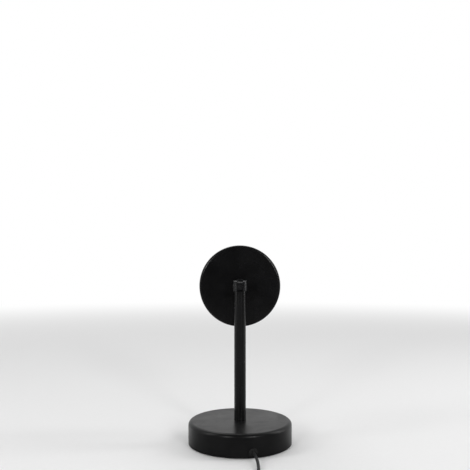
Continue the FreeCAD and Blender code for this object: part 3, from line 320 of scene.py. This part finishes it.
plug_lead = lead_curve("plug_lead", [
    (-43.0, -195.0, 5.0), (-43.0, -204.0, 5.0), (-38.6, -214.6, 3.2), (-28.0, -219.0, 1.7),
    (-17.4, -214.6, 2.6), (-13.0, -204.0, 4.25), (-13.0, -195.0, 4.25)], cord_diameter, jacket)
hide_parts("lead_switch_to_plug")

# ---- Base shell ----------------------------------------------------------------------------------------
# Drawn steel drum, sprayed satin black: a faint orange peel, a few dust nibs under the paint, and a softly
# clouded sheen from handling. It is modelled here because its top edge is tighter than the solid's.
shell_radius = 55.0
shell_height = 24.0
shell_lift = 1.0            # its rim stays this far off the table
shell_wall = 1.0
shell_edge_radius = 4.0
stem_hole_radius = 5.05
bush_hole_radius = 3.55
punch_length = 8.0


def pick(obj, kind, wanted):
    """Edit mode on one object, with just the vertices, edges or faces picked that are wanted."""
    bpy.ops.object.mode_set(mode="OBJECT")
    bpy.ops.object.select_all(action="DESELECT")
    obj.select_set(True)
    bpy.context.view_layer.objects.active = obj
    bpy.ops.object.mode_set(mode="EDIT")
    bpy.ops.mesh.select_mode(type=kind)
    bpy.ops.mesh.select_all(action="DESELECT")
    bpy.ops.object.mode_set(mode="OBJECT")
    mesh = obj.data
    if kind == "EDGE":
        for line in mesh.edges:
            line.select = wanted(*(mesh.vertices[i].co for i in line.vertices))
    else:
        for element in mesh.vertices if kind == "VERT" else mesh.polygons:
            element.select = wanted(element)
    bpy.ops.object.mode_set(mode="EDIT")


def named(name, scale=(1, 1, 1)):
    """Names the primitive just added, and applies its place, turn and scale."""
    piece = bpy.context.object
    piece.name = name
    piece.scale = scale
    bpy.ops.object.transform_apply(location=True, rotation=True, scale=True)
    return piece


def combine(obj, other, operation):
    """Cuts another mesh out of one or joins it on, and removes the other."""
    bpy.ops.object.select_all(action="DESELECT")
    obj.select_set(True)
    bpy.context.view_layer.objects.active = obj
    step = obj.modifiers.new("combine", "BOOLEAN")
    step.object = other
    step.operation = operation
    step.solver = "EXACT"
    bpy.ops.object.modifier_apply(modifier="combine")
    bpy.data.objects.remove(other)


paint_skin, at, fine, result = start_skin("paint_skin")
nibs = spread(paint_skin, cells(paint_skin, at, 190.0), 0.055, 0.02)
height = maths(paint_skin, "MULTIPLY_ADD", nibs, 1.6, noise(paint_skin, at, fine, 1.5))
clouds = noise(paint_skin, at, 38.0, 5.0, roughness=0.62, distortion=0.6)
end_skin(paint_skin, result, height, clouds, 0.32, 0.70)
black_tones = ((0.0032, 0.0032, 0.0034), (0.0055, 0.0055, 0.0058), (0.012, 0.012, 0.0125))
satin_black = finish("satin_black_paint", paint_skin, 0.9, 0.004, black_tones, (0.28, 0.40), edge=0.35,
                     Specular_IOR_Level=0.18)

bpy.ops.mesh.primitive_cylinder_add(vertices=192, radius=shell_radius * MM,
                                    depth=(shell_height - shell_lift) * MM,
                                    location=(0, 0, (shell_height + shell_lift) / 2 * MM))
drum = named("base_drum")
pick(drum, "EDGE", lambda a, b: min(a.z, b.z) > (shell_height - 0.1) * MM)
bpy.ops.mesh.bevel(offset=shell_edge_radius * MM, segments=10, affect="EDGES")
pick(drum, "FACE", lambda face: face.normal.z < -0.9)
bpy.ops.mesh.delete(type="FACE")
bpy.ops.object.mode_set(mode="OBJECT")
sheet = drum.modifiers.new("sheet", "SOLIDIFY")
sheet.thickness = shell_wall * MM
sheet.offset = -1
sheet.use_even_offset = True
bpy.ops.object.modifier_apply(modifier="sheet")

# The nipple comes up through a hole under the stem, and the bush sits in one low at the back.
exit_angle = math.atan2(lead_exit[0], -lead_exit[1])
in_wall = shell_radius - shell_wall / 2
bush_place = (in_wall * math.sin(exit_angle), -in_wall * math.cos(exit_angle), lead_exit[2])
for hole_radius, middle, turn in ((stem_hole_radius, (0, 0, shell_height), (0, 0, 0)),
                                  (bush_hole_radius, bush_place, (math.pi / 2, 0, exit_angle))):
    bpy.ops.mesh.primitive_cylinder_add(vertices=64, radius=hole_radius * MM, depth=punch_length * MM,
                                        location=Vector(middle) * MM, rotation=turn)
    combine(drum, bpy.context.object, "DIFFERENCE")
bpy.ops.object.shade_smooth_by_angle(angle=math.radians(30))
flats = drum.modifiers.new("flats", "WEIGHTED_NORMAL")
flats.keep_sharp = True
bpy.ops.object.modifier_apply(modifier="flats")
drum.data.materials.append(satin_black)
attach(drum, "stand")
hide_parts("base_shell")

# ---- Base weight ---------------------------------------------------------------------------------------
# Grey iron casting that keeps the lamp upright: a sandy skin from the mould and a thin film of dark oil,
# with stains where the oil has pooled.
def dress(material, *names):
    """Gives CAD nodes their material."""
    for name in names:
        nodes[name].data.materials.clear()
        nodes[name].data.materials.append(material)


cast_skin, at, fine, result = start_skin("cast_skin")
height = maths(cast_skin, "MULTIPLY_ADD", cells(cast_skin, at, 320.0, "SMOOTH_F1"), 0.8,
               noise(cast_skin, at, fine, 7.0, roughness=0.65))
end_skin(cast_skin, result, height, noise(cast_skin, at, 60.0, 6.0, distortion=1.2), 0.36, 0.64)
dress(finish("cast_iron", cast_skin, 1.2, 0.16, ((0.115, 0.110, 0.105), (0.060, 0.050, 0.042),
                                                 (0.20, 0.20, 0.20)), (0.55, 0.80), edge=0.8, Metallic=0.7),
      "base_weight")

# ---- Base cover and lead clamp -------------------------------------------------------------------------
# Injection-moulded black ABS with a fine spark-eroded grain. The cover closes the shell from below, and the
# small bridge holds the lead down on it, so that a pull on the lead never reaches the nipple.
moulded_black = finish("moulded_black", moulded_skin, 0.35, 0.03, (
    (0.014, 0.014, 0.015), (0.022, 0.022, 0.023), (0.05, 0.05, 0.05)), (0.48, 0.62), edge=0.2,
    Specular_IOR_Level=0.45)
dress(moulded_black, "base_cover", "cord_clamp")

# ---- Zinc-plated fastenings in the base ----------------------------------------------------------------
# Rolled and turned steel, bright zinc with a faint blue cast and cloudy patches. The thread is a fine helix
# about the piece's own axis.
plated_skin, at, fine, result = start_skin("plated_skin")
height = noise(plated_skin, at, fine, 2.0)
end_skin(plated_skin, result, height, noise(plated_skin, at, 420.0, 4.0), 0.35, 0.65)

thread_skin, at, fine, result = start_skin("thread_skin")
axes = wire(thread_skin, "ShaderNodeSeparateXYZ", {0: at}).outputs
round_angle = maths(thread_skin, "DIVIDE", maths(thread_skin, "ARCTAN2", axes["Y"], axes["X"]), 2 * math.pi)
turns = maths(thread_skin, "ADD", maths(thread_skin, "MULTIPLY", axes["Z"], fine), round_angle)
ridge = maths(thread_skin, "MULTIPLY", maths(thread_skin, "PINGPONG", turns, 0.5), 2.0)
end_skin(thread_skin, result, ridge, noise(thread_skin, at, 500.0, 3.0), 0.35, 0.65)

zinc_tones = ((0.58, 0.60, 0.63), (0.46, 0.47, 0.48), (0.70, 0.70, 0.70))
bright_zinc = finish("bright_zinc", plated_skin, 0.25, 0.012, zinc_tones, (0.24, 0.40), edge=0.15,
                     Metallic=1.0)
dress(bright_zinc, "cover_screws", "clamp_screws", "nipple_washer", "nipple_nut")
dress(finish("zinc_thread", thread_skin, 1.0, 0.42, zinc_tones, (0.26, 0.40), edge=0.15, Metallic=1.0),
      "stem_nipple")

# ---- Foam pad ------------------------------------------------------------------------------------------
# Die-cut disc of black closed-cell foam, glued under the cover so that the lamp doesn't slide or scratch.
# Its cut rim bulges a little under the lamp's weight.
pad_radius = 49.0
pad_thickness = 1.5
pad_bulge = 0.25


def soften(obj, width, segments, angle):
    """Bevels the edges that are sharper than an angle in degrees; width is in mm."""
    step = obj.modifiers.new("soften", "BEVEL")
    step.width = width * MM
    step.segments = segments
    step.limit_method = "ANGLE"
    step.angle_limit = math.radians(angle)
    bpy.ops.object.modifier_apply(modifier="soften")


bpy.ops.mesh.primitive_cylinder_add(vertices=128, radius=(pad_radius - pad_bulge) * MM,
                                    depth=pad_thickness * MM, location=(0, 0, pad_thickness / 2 * MM))
foam_pad = named("foam_pad")
pick(foam_pad, "EDGE", lambda a, b: abs(a.z - b.z) > 0.5 * pad_thickness * MM)
bpy.ops.mesh.subdivide(number_cuts=1)
pick(foam_pad, "EDGE", lambda a, b: max(abs(p.z - pad_thickness / 2 * MM) for p in (a, b)) < 0.01 * MM)
growth = pad_radius / (pad_radius - pad_bulge)
bpy.ops.transform.resize(value=(growth, growth, 1), center_override=(0, 0, 0))
bpy.ops.object.mode_set(mode="OBJECT")
soften(foam_pad, 0.3, 3, 40)
bpy.ops.object.shade_smooth_by_angle(angle=math.radians(40))

foam_skin, at, fine, result = start_skin("foam_skin")
end_skin(foam_skin, result, cells(foam_skin, at, fine), noise(foam_skin, at, 90.0, 6.0), 0.4, 0.7)
foam = finish("closed_cell_foam", foam_skin, 0.45, 0.10, ((0.020, 0.020, 0.020), (0.036, 0.035, 0.034),
                                                        (0.05, 0.05, 0.05)), (0.80, 0.95), edge=0.2,
              Specular_IOR_Level=0.25)
foam_pad.data.materials.append(foam)
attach(foam_pad, "stand")
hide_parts("base_pad")

# ---- Lead bush and inner lead --------------------------------------------------------------------------
# The bush is soft black rubber that snaps into the shell's wall. From it the lead runs flat under the clamp,
# turns up through the nipple and stops in the knuckle's bore.
soft_rubber = finish("soft_rubber", moulded_skin, 0.6, 0.02, ((0.005, 0.005, 0.005), (0.010, 0.010, 0.010),
                                                            (0.012, 0.012, 0.012)), (0.55, 0.72), edge=0.25,
                     Specular_IOR_Level=0.22)
dress(soft_rubber, "cord_grommet")
inner_lead = lead_curve("inner_lead", [
    lead_exit, (9.0, -38.98, 6.0), (3.60, -15.59, 6.0), (0, 0, 6.0), (0, 0, 22.0), (0, 0, 60.0),
    (0, 0, 158.0)], cord_diameter, jacket)
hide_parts("lead_in_base")

# ---- Stem ----------------------------------------------------------------------------------------------
# Thin steel tube on the nipple, painted with the base. The draw lines of the tube just show through the
# paint.
drawn_skin, at, fine, result = start_skin("drawn_skin")
lengthwise = wire(drawn_skin, "ShaderNodeMapping", {"Vector": at, "Scale": (1.0, 1.0, 0.02)},
                  vector_type="POINT").outputs["Vector"]
height = maths(drawn_skin, "MULTIPLY_ADD", noise(drawn_skin, lengthwise, fine, 2.0), 0.8,
               noise(drawn_skin, at, fine, 1.0))
end_skin(drawn_skin, result, height, noise(drawn_skin, at, 40.0, 5.0), 0.32, 0.70)
dress(finish("painted_tube", drawn_skin, 0.9, 0.0012, black_tones, (0.20, 0.30), edge=0.3,
             Specular_IOR_Level=0.20), "stem_tube")

# ---- Knuckle -------------------------------------------------------------------------------------------
# Fork and tongue turned from steel and plated black zinc, a shade glossier and greyer than the paint. The
# hinge screw and nut are black-oxidised, and two dark nylon washers give the tilt its friction.
black_zinc = finish("black_zinc", plated_skin, 0.5, 0.0015, ((0.006, 0.006, 0.0065), (0.010, 0.010, 0.011),
                                                           (0.014, 0.014, 0.015)), (0.22, 0.32), edge=0.15,
                    Metallic=0.2, Specular_IOR_Level=0.26)
dress(black_zinc, "knuckle_fork", "knuckle_tongue")
black_oxide = finish("black_oxide", plated_skin, 0.3, 0.005, ((0.026, 0.026, 0.028), (0.040, 0.039, 0.038),
                                                             (0.09, 0.09, 0.09)), (0.30, 0.44), edge=0.15,
                     Metallic=0.9)
dress(black_oxide, "hinge_screw", "hinge_nut")
dress(finish("dark_nylon", moulded_skin, 0.4, 0.008, ((0.010, 0.010, 0.011), (0.016, 0.016, 0.017),
                                                     (0.016, 0.016, 0.017)), (0.40, 0.52), edge=0.1,
             Specular_IOR_Level=0.3), "friction_washers")

# ---- Head shell and front bezel ------------------------------------------------------------------------
# Spun drum with a flat back, and a turned ring that closes its front with three grub screws, both in the
# base's satin black. The spinning leaves very fine rings round the head's axis under the paint.
hinge_height = 165.8
along_head = {"turn": (90, 0, 0), "middle": (0, 0, hinge_height)}


def from_axis(tree, place):
    """How far a place lies from the Z axis, and how far along it."""
    axes = wire(tree, "ShaderNodeSeparateXYZ", {0: place}).outputs
    squares = [maths(tree, "MULTIPLY", axes[axis], axes[axis]) for axis in ("X", "Y")]
    return maths(tree, "SQRT", maths(tree, "ADD", *squares)), axes["Z"]


spun_skin, at, fine, result = start_skin("spun_skin")
across, along = from_axis(spun_skin, at)
ring_place = wire(spun_skin, "ShaderNodeCombineXYZ", {"X": across, "Y": along}).outputs["Vector"]
height = maths(spun_skin, "MULTIPLY_ADD", noise(spun_skin, ring_place, fine, 2.0), 0.5,
               noise(spun_skin, at, fine, 1.0))
end_skin(spun_skin, result, height, noise(spun_skin, at, 36.0, 5.0, distortion=0.5), 0.32, 0.70)
dress(finish("spun_black_paint", spun_skin, 0.9, 0.004, black_tones, (0.15, 0.23), edge=0.35,
             place=along_head, Specular_IOR_Level=0.18), "head_shell", "head_bezel")
dress(black_oxide, "bezel_screws")

# ---- Fastenings in the head ----------------------------------------------------------------------------
# The washer and nut draw the tongue's stud to the shell's back; three long screws hold the light engine.
# They are plated like the fastenings in the base.
dress(bright_zinc, "head_washer", "head_nut", "engine_screws")

# ---- Lead inside the head ------------------------------------------------------------------------------
# The lead goes on from the tongue's arm through its hollow stud, turns down between the sink's fins and
# ends in the driver's terminal.
head_lead = lead_curve("head_lead", [
    (0, 5.0, hinge_height), (0, 12.0, hinge_height), (0, 19.6, hinge_height), (0, 28.6, hinge_height),
    (0, 28.6, hinge_height - 9.0), (0, 28.6, hinge_height - 30.0)], cord_diameter, jacket, body="lamp_head")
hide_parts("lead_in_head")

# ---- Lens, gradient filter and their mounts ------------------------------------------------------------
# Plano-convex optical glass with a few wiped smears. The filter is thin glass with a fired coating that
# goes from deep orange in the middle to yellow and a breath of red at its rim.
coating_radius = 13.0
smear_skin, given, result = effect("smear_skin", ["Place"], ["Smear"])
wiped = wire(smear_skin, "ShaderNodeMapping", {"Vector": given["Place"], "Rotation": (0, 0.6, 0),
                                               "Scale": (1.0, 1.0, 0.25)}).outputs["Vector"]
smears = noise(smear_skin, wiped, 140.0, 5.0)
smear_skin.links.new(spread(smear_skin, smears, 0.5, 0.75), result["Smear"])


def clear_glass(name, colour, rough, index):
    material, tree, shader = new_material(name)
    smear = wire(tree, "ShaderNodeGroup", {"Place": place_of(tree)}, node_tree=smear_skin)
    tree.links.new(spread(tree, smear.outputs["Smear"], 0, 1, *rough), shader.inputs["Roughness"])
    shader.inputs["Base Color"].default_value = [*colour, 1]
    shader.inputs["Transmission Weight"].default_value = 1.0
    shader.inputs["IOR"].default_value = index
    return material, tree, shader


dress(clear_glass("lens_glass", (0.97, 0.98, 0.99), (0.0, 0.05), 1.52)[0], "lens")
coated, tree, shader = clear_glass("sunset_coating", (0.95, 0.45, 0.12), (0.01, 0.06), 1.50)
across = from_axis(tree, place_of(tree, **along_head))[0]
grading = wire(tree, "ShaderNodeValToRGB", {"Fac": spread(tree, across, 0.0, coating_radius * MM)})
grading.color_ramp.elements[0].color = (1.0, 0.16, 0.012, 1)
grading.color_ramp.elements[1].color = (0.85, 0.22, 0.20, 1)
for position, colour in ((0.55, (1.0, 0.26, 0.02, 1)), (0.80, (1.0, 0.55, 0.06, 1))):
    grading.color_ramp.elements.new(position).color = colour
tree.links.new(grading.outputs["Color"], shader.inputs["Base Color"])
dress(coated, "filter_glass")
dress(black_zinc, "lens_ring")
dress(moulded_black, "filter_holder", "lens_spacer")
dress(soft_rubber, "lens_gasket")

# ---- Reflector -----------------------------------------------------------------------------------------
# Moulded cone between the emitter and the filter. It is vacuum-metallised, with the faint haze that such a
# coating has.
dress(finish("metallised_plastic", plated_skin, 0.8, 0.004, ((0.82, 0.82, 0.83), (0.74, 0.74, 0.76),
                                                            (0.60, 0.60, 0.60)), (0.08, 0.20), edge=0.15,
             Metallic=1.0), "reflector")

# ---- Light emitter, its board and the heat sink --------------------------------------------------------
# A white ceramic plate with a disc of yellow phosphor gel that glows warm, on an aluminium-cored board
# with white solder mask. The sink is a sawn slice of plain aluminium extrusion.
dress(finish("white_ceramic", moulded_skin, 0.3, 0.004, ((0.80, 0.80, 0.77), (0.74, 0.74, 0.71),
                                                       (0.78, 0.78, 0.76)), (0.36, 0.5), edge=0.12),
      "led_emitter")
dress(finish("phosphor_gel", moulded_skin, 0.25, 0.01, ((0.86, 0.68, 0.14), (0.80, 0.60, 0.10),
                                                      (0.86, 0.70, 0.20)), (0.25, 0.35), edge=0.15,
             Emission_Color=(1.0, 0.62, 0.28, 1), Emission_Strength=2.5), "led_phosphor")
dress(finish("white_solder_mask", moulded_skin, 0.6, 0.006, ((0.78, 0.78, 0.76), (0.70, 0.70, 0.68),
                                                           (0.62, 0.55, 0.42)), (0.30, 0.42), edge=0.12),
      "led_board")
dress(finish("extruded_aluminium", drawn_skin, 0.35, 0.02, ((0.60, 0.61, 0.62), (0.50, 0.51, 0.53),
                                                          (0.75, 0.75, 0.76)), (0.32, 0.48), edge=0.15,
             place={"middle": (0, 0, hinge_height)}, Metallic=1.0), "heat_sink")

# ---- Driver --------------------------------------------------------------------------------------------
# Small constant-current supply, stuck to the shell's back with foam tape: green glass-fibre board, a white
# nylon terminal, a ferrite inductor wound with enamelled copper, and an aluminium-can capacitor.
dress(finish("green_laminate", plated_skin, 0.9, 0.010, ((0.010, 0.085, 0.032), (0.016, 0.11, 0.045),
                                                       (0.30, 0.26, 0.14)), (0.28, 0.42), edge=0.15,
             Coat_Weight=0.3), "driver_board")
dress(finish("ferrite", cast_skin, 0.3, 0.02, ((0.045, 0.045, 0.047), (0.065, 0.063, 0.060),
                                             (0.09, 0.09, 0.09)), (0.55, 0.72), edge=0.2), "driver_coil")
dress(finish("capacitor_can", plated_skin, 0.2, 0.006, ((0.66, 0.67, 0.68), (0.56, 0.57, 0.58),
                                                      (0.80, 0.80, 0.80)), (0.22, 0.36), edge=0.12,
             Metallic=1.0), "driver_capacitor")
nylon = finish("white_nylon", moulded_skin, 0.4, 0.01, ((0.74, 0.73, 0.69), (0.66, 0.65, 0.60),
                                                       (0.80, 0.79, 0.76)), (0.34, 0.48), edge=0.15,
               Subsurface_Weight=0.15, Subsurface_Radius=(0.0008, 0.0008, 0.0006))
dress(nylon, "driver_terminal")

# ---- Foam tape under the driver ------------------------------------------------------------------------
# Block of the same black foam as the pad, with glue on both faces. It is pressed a little, so that its
# sides are waisted.
tape_low, tape_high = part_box("driver_tape")
tape_middle = (tape_low + tape_high) / 2
bpy.ops.mesh.primitive_cube_add(size=1, location=tape_middle)
foam_tape = named("foam_tape", tape_high - tape_low)
pick(foam_tape, "EDGE", lambda a, b: abs(a.y - b.y) > 1 * MM)
bpy.ops.mesh.subdivide(number_cuts=3)
pick(foam_tape, "EDGE", lambda a, b: max(abs(p.y - tape_middle.y) for p in (a, b)) < 0.01 * MM)
bpy.ops.transform.resize(value=(0.965, 1, 0.93), center_override=tape_middle)
bpy.ops.object.mode_set(mode="OBJECT")
soften(foam_tape, 0.25, 3, 50)
bpy.ops.object.shade_smooth_by_angle(angle=math.radians(40))
foam_tape.data.materials.append(foam)
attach(foam_tape, "lamp_head")
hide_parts("driver_tape")

# ---- Inductor winding ----------------------------------------------------------------------------------
# Seven close turns of enamelled copper wire on the ferrite core's waist. It is a small piece of the scene
# that rides on the head.
core_low, core_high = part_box("driver_coil")
core_middle = (core_low + core_high) / (2 * MM)
winding_turns = 7
winding_steps = 16
winding_radius = 2.42
winding_length = 2.3
winding_wire = 0.33
enamelled_copper = finish("enamelled_copper", plated_skin, 0.2, 0.004, (
    (0.62, 0.20, 0.07), (0.50, 0.15, 0.05), (0.75, 0.32, 0.14)), (0.18, 0.30), edge=0.05, Metallic=1.0)
helix = []
for step in range(winding_turns * winding_steps + 1):
    share = step / (winding_turns * winding_steps)
    turn = 2 * math.pi * winding_turns * share
    helix.append((core_middle.x + winding_radius * math.cos(turn),
                  core_middle.y + winding_length * (share - 0.5),
                  core_middle.z + winding_radius * math.sin(turn)))
winding = lead_curve("choke_winding", helix, winding_wire, enamelled_copper, body="lamp_head", facets=2,
                     steps=2)

# ---- Wires to the emitter board ------------------------------------------------------------------------
# Two thin red and black silicone wires rise from the driver, pass the heat sink's edge and are soldered
# to the board's pads.
wire_diameter = 1.0
pad_y, pad_z = 35.0, 139.4
emitter_wires = (("red", -4.2, (0.30, 0.012, 0.010), (0.36, 0.02, 0.015)),
                 ("black", 4.2, (0.012, 0.012, 0.012), (0.02, 0.02, 0.02)))
for colour, x, clean, clouded in emitter_wires:
    silicone = finish(colour + "_silicone", moulded_skin, 0.3, 0.006, (clean, clouded, clouded),
                      (0.30, 0.42), edge=0.05)
    lead_curve("emitter_wire_" + colour, [
        (x, 24.2, 133.4), (x, 31.0, 133.0), (x, 37.2, 133.2), (x, 39.2, 135.4), (x, 39.2, 138.0),
        (x, 37.6, pad_z), (x, 35.9, pad_z), (x, pad_y, pad_z)], wire_diameter, silicone, body="lamp_head")
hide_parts("led_wires")

# ---- Solder joints on the emitter board ----------------------------------------------------------------
# Each wire ends in a cone of bright solder that wets the round pad on the board. The rings of the cone are
# given by their rise and by how much they draw in.
solder_radius = 1.5
solder_rings = ((0.22, 0.72), (0.30, 0.72), (0.40, 0.84), (0.20, 0.90))
solder = finish("bright_solder", plated_skin, 0.4, 0.01, (
    (0.66, 0.66, 0.67), (0.55, 0.55, 0.56), (0.75, 0.75, 0.75)), (0.14, 0.30), edge=0.1, Metallic=1.0)


def extrude(offset):
    """Extrudes what is picked, along Y, by an offset in mm."""
    bpy.ops.mesh.extrude_region_move(TRANSFORM_OT_translate={"value": (0, offset * MM, 0)})


for colour, x, *tones in emitter_wires:
    foot = Vector((x, pad_y, pad_z)) * MM
    bpy.ops.mesh.primitive_circle_add(vertices=24, radius=solder_radius * MM, fill_type="NGON", location=foot,
                                      rotation=(math.radians(-90), 0, 0))
    joint = named("solder_joint_" + colour)
    bpy.ops.object.mode_set(mode="EDIT")
    bpy.ops.mesh.select_all(action="SELECT")
    for rise, share in solder_rings:
        extrude(rise)
        bpy.ops.transform.resize(value=(share, 1, share), center_override=foot)
    bpy.ops.mesh.select_all(action="SELECT")
    bpy.ops.mesh.normals_make_consistent(inside=False)
    bpy.ops.object.mode_set(mode="OBJECT")
    bpy.ops.object.shade_smooth_by_angle(angle=math.radians(60))
    joint.data.materials.append(solder)
    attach(joint, "lamp_head")

# ---- Coil tie ------------------------------------------------------------------------------------------
# Black hook-and-loop strap round the coil's turns, square to them: a fuzzy woven band whose end is pressed
# down over itself on the outer side.
strap_thickness = 0.6
strap_corner = 2.4
fold_low, fold_high = 4.2, 11.6         # levels between which the end lies over the band
fold_rise, fold_press = 0.55, 0.35      # how far the end stands off, and how far its top is pressed back
strap_low, strap_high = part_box("cord_tie")
bpy.ops.mesh.primitive_cube_add(size=1, location=(strap_low + strap_high) / 2)
strap = named("coil_tie", strap_high - strap_low)
pick(strap, "EDGE", lambda a, b: abs(a.x - b.x) > 1 * MM)
bpy.ops.mesh.bevel(offset=strap_corner * MM, segments=6, affect="EDGES")
pick(strap, "FACE", lambda face: abs(face.normal.x) > 0.9)
bpy.ops.mesh.delete(type="FACE")
for level in (fold_low, fold_high):
    bpy.ops.mesh.select_all(action="SELECT")
    bpy.ops.mesh.bisect(plane_co=(0, 0, level * MM), plane_no=(0, 0, 1))
bpy.ops.object.mode_set(mode="OBJECT")
band = strap.modifiers.new("band", "SOLIDIFY")
band.thickness = strap_thickness * MM
band.offset = -1
bpy.ops.object.modifier_apply(modifier="band")
pick(strap, "FACE", lambda face: face.normal.y < -0.9 and fold_low < face.center.z / MM < fold_high
     and face.center.y < strap_low.y + 0.1 * MM)
extrude(-fold_rise)
pick(strap, "VERT", lambda vertex: vertex.co.y < strap_low.y - 0.3 * MM and vertex.co.z > 10 * MM)
bpy.ops.transform.translate(value=(0, fold_press * MM, 0))
bpy.ops.object.mode_set(mode="OBJECT")
soften(strap, 0.14, 2, 50)
bpy.ops.object.shade_smooth_by_angle(angle=math.radians(40))

pile_skin, at, fine, result = start_skin("pile_skin")
fuzz = noise(pile_skin, at, fine, 6.0, roughness=0.7, distortion=1.5)
height = maths(pile_skin, "ADD", cells(pile_skin, at, fine), fuzz)
end_skin(pile_skin, result, height, fuzz, 0.40, 0.65)
strap.data.materials.append(finish("hook_and_loop", pile_skin, 0.32, 0.12, (
    (0.010, 0.010, 0.011), (0.030, 0.030, 0.032), (0.035, 0.035, 0.036)), (0.80, 0.95), edge=0.1,
    Sheen_Weight=0.25, Sheen_Roughness=0.5, Specular_IOR_Level=0.2))
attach(strap, "stand")
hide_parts("cord_tie")

# ---- Press switch --------------------------------------------------------------------------------------
# Two moulded halves screwed together over the lead, with a domed button that clicks the lamp on and off.
# The button is polished a little by use.
dress(moulded_black, "switch_top", "switch_bottom", "switch_unit")
dress(finish("button_black", moulded_skin, 0.3, 0.015, ((0.018, 0.018, 0.019), (0.028, 0.028, 0.029),
                                                       (0.07, 0.07, 0.07)), (0.30, 0.44), edge=0.25),
      "switch_button")
dress(bright_zinc, "switch_screws")

# ---- Plug ----------------------------------------------------------------------------------------------
# USB-A plug: a folded nickel-plated shell round a white tongue with four gold-flashed strips, in a soft
# black overmould.
dress(finish("nickel_shell", drawn_skin, 0.2, 0.004, ((0.68, 0.67, 0.64), (0.60, 0.59, 0.57),
                                                    (0.78, 0.77, 0.75)), (0.16, 0.30), edge=0.12,
             place={"turn": (90, 0, 0)}, Metallic=1.0), "plug_shell")
dress(finish("gold_flash", plated_skin, 0.15, 0.004, ((0.88, 0.62, 0.22), (0.80, 0.54, 0.18),
                                                     (0.92, 0.70, 0.34)), (0.14, 0.26), edge=0.06,
             Metallic=1.0), "plug_contacts")
dress(nylon, "plug_insulator")

# The overmould: a rounded block with a ribbed finger recess in each broad face, and a relief that lets the
# lead bend without kinking.
grip_corner = 2.2
recess_margin, recess_slope, recess_depth = 2.0, 0.45, 0.4
ribs = [2.6 * number for number in range(-2, 3)]        # places along the grip, from its middle
rib_half, rib_margin, rib_slope, rib_height = 0.75, 0.35, 0.15, 0.3
socket_margin, socket_depth = 1.72, 3.9
relief_length = 8.0
relief_start_radius = 1.75
relief_rings = ((0.25, 1.95), (0.75, 1.98), (0.2, 1.72), (0.36, 1.74))      # step and radius of each ring
relief_swell = 0.24         # from one rib of the relief to the next
relief_overlap = 0.9        # into the grip
grip_low, grip_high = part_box("plug_overmould")
relief_end = grip_low.y + relief_length * MM
grip_middle = Vector(((grip_low.x + grip_high.x) / 2, (relief_end + grip_high.y) / 2,
                      (grip_low.z + grip_high.z) / 2))
grip_size = Vector((grip_high.x - grip_low.x, grip_high.y - relief_end, grip_high.z - grip_low.z))


def in_recess(face):
    """Whether a face of the grip belongs to the floor of a recess."""
    depth = abs(abs(face.center.z - grip_middle.z) - grip_size.z / 2 + recess_depth * MM)
    return abs(face.normal.z) > 0.999 and depth < 0.01 * MM


bpy.ops.mesh.primitive_cube_add(size=1, location=grip_middle)
grip = named("plug_grip", grip_size)
pick(grip, "EDGE", lambda a, b: abs(a.y - b.y) > 5 * MM)
bpy.ops.mesh.bevel(offset=grip_corner * MM, segments=6, affect="EDGES")
pick(grip, "FACE", lambda face: abs(face.normal.z) > 0.999)
bpy.ops.mesh.inset(thickness=recess_margin * MM, depth=0, use_individual=True)
bpy.ops.mesh.inset(thickness=recess_slope * MM, depth=-recess_depth * MM, use_individual=True)
for rib in ribs:
    for side in (-rib_half, rib_half):
        pick(grip, "FACE", in_recess)
        bpy.ops.mesh.bisect(plane_co=(0, grip_middle.y + (rib + side) * MM, 0), plane_no=(0, 1, 0))
pick(grip, "FACE", lambda face: in_recess(face)
     and min(abs(face.center.y - grip_middle.y - rib * MM) for rib in ribs) < 0.1 * MM)
bpy.ops.mesh.inset(thickness=rib_margin * MM, depth=0, use_individual=True)
bpy.ops.mesh.inset(thickness=rib_slope * MM, depth=rib_height * MM, use_individual=True)
pick(grip, "FACE", lambda face: face.normal.y > 0.999)
bpy.ops.mesh.inset(thickness=socket_margin * MM, depth=0)
bpy.ops.transform.resize(value=(1, 1, 0.92), center_override=(grip_middle.x, grip_high.y, grip_middle.z))
extrude(-socket_depth)
bpy.ops.object.mode_set(mode="OBJECT")
soften(grip, 0.12, 2, 30)

start = Vector((grip_middle.x, grip_low.y, grip_middle.z))
radius = relief_start_radius
bpy.ops.mesh.primitive_circle_add(vertices=40, radius=radius * MM, fill_type="NGON", location=start,
                                  rotation=(math.radians(90), 0, 0))
relief = named("relief")
bpy.ops.object.mode_set(mode="EDIT")
bpy.ops.mesh.select_all(action="SELECT")
for number in range(5):
    for step, ring_radius in relief_rings:
        to_radius = ring_radius + relief_swell * number
        extrude(step)
        bpy.ops.transform.resize(value=(to_radius / radius, 1, to_radius / radius), center_override=start)
        radius = to_radius
extrude(relief_overlap)
bpy.ops.mesh.select_all(action="SELECT")
bpy.ops.mesh.normals_make_consistent(inside=False)
bpy.ops.object.mode_set(mode="OBJECT")
combine(grip, relief, "UNION")
bpy.ops.object.shade_smooth_by_angle(angle=math.radians(35))
grip.data.materials.append(jacket)
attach(grip, "stand")
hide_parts("plug_overmould")
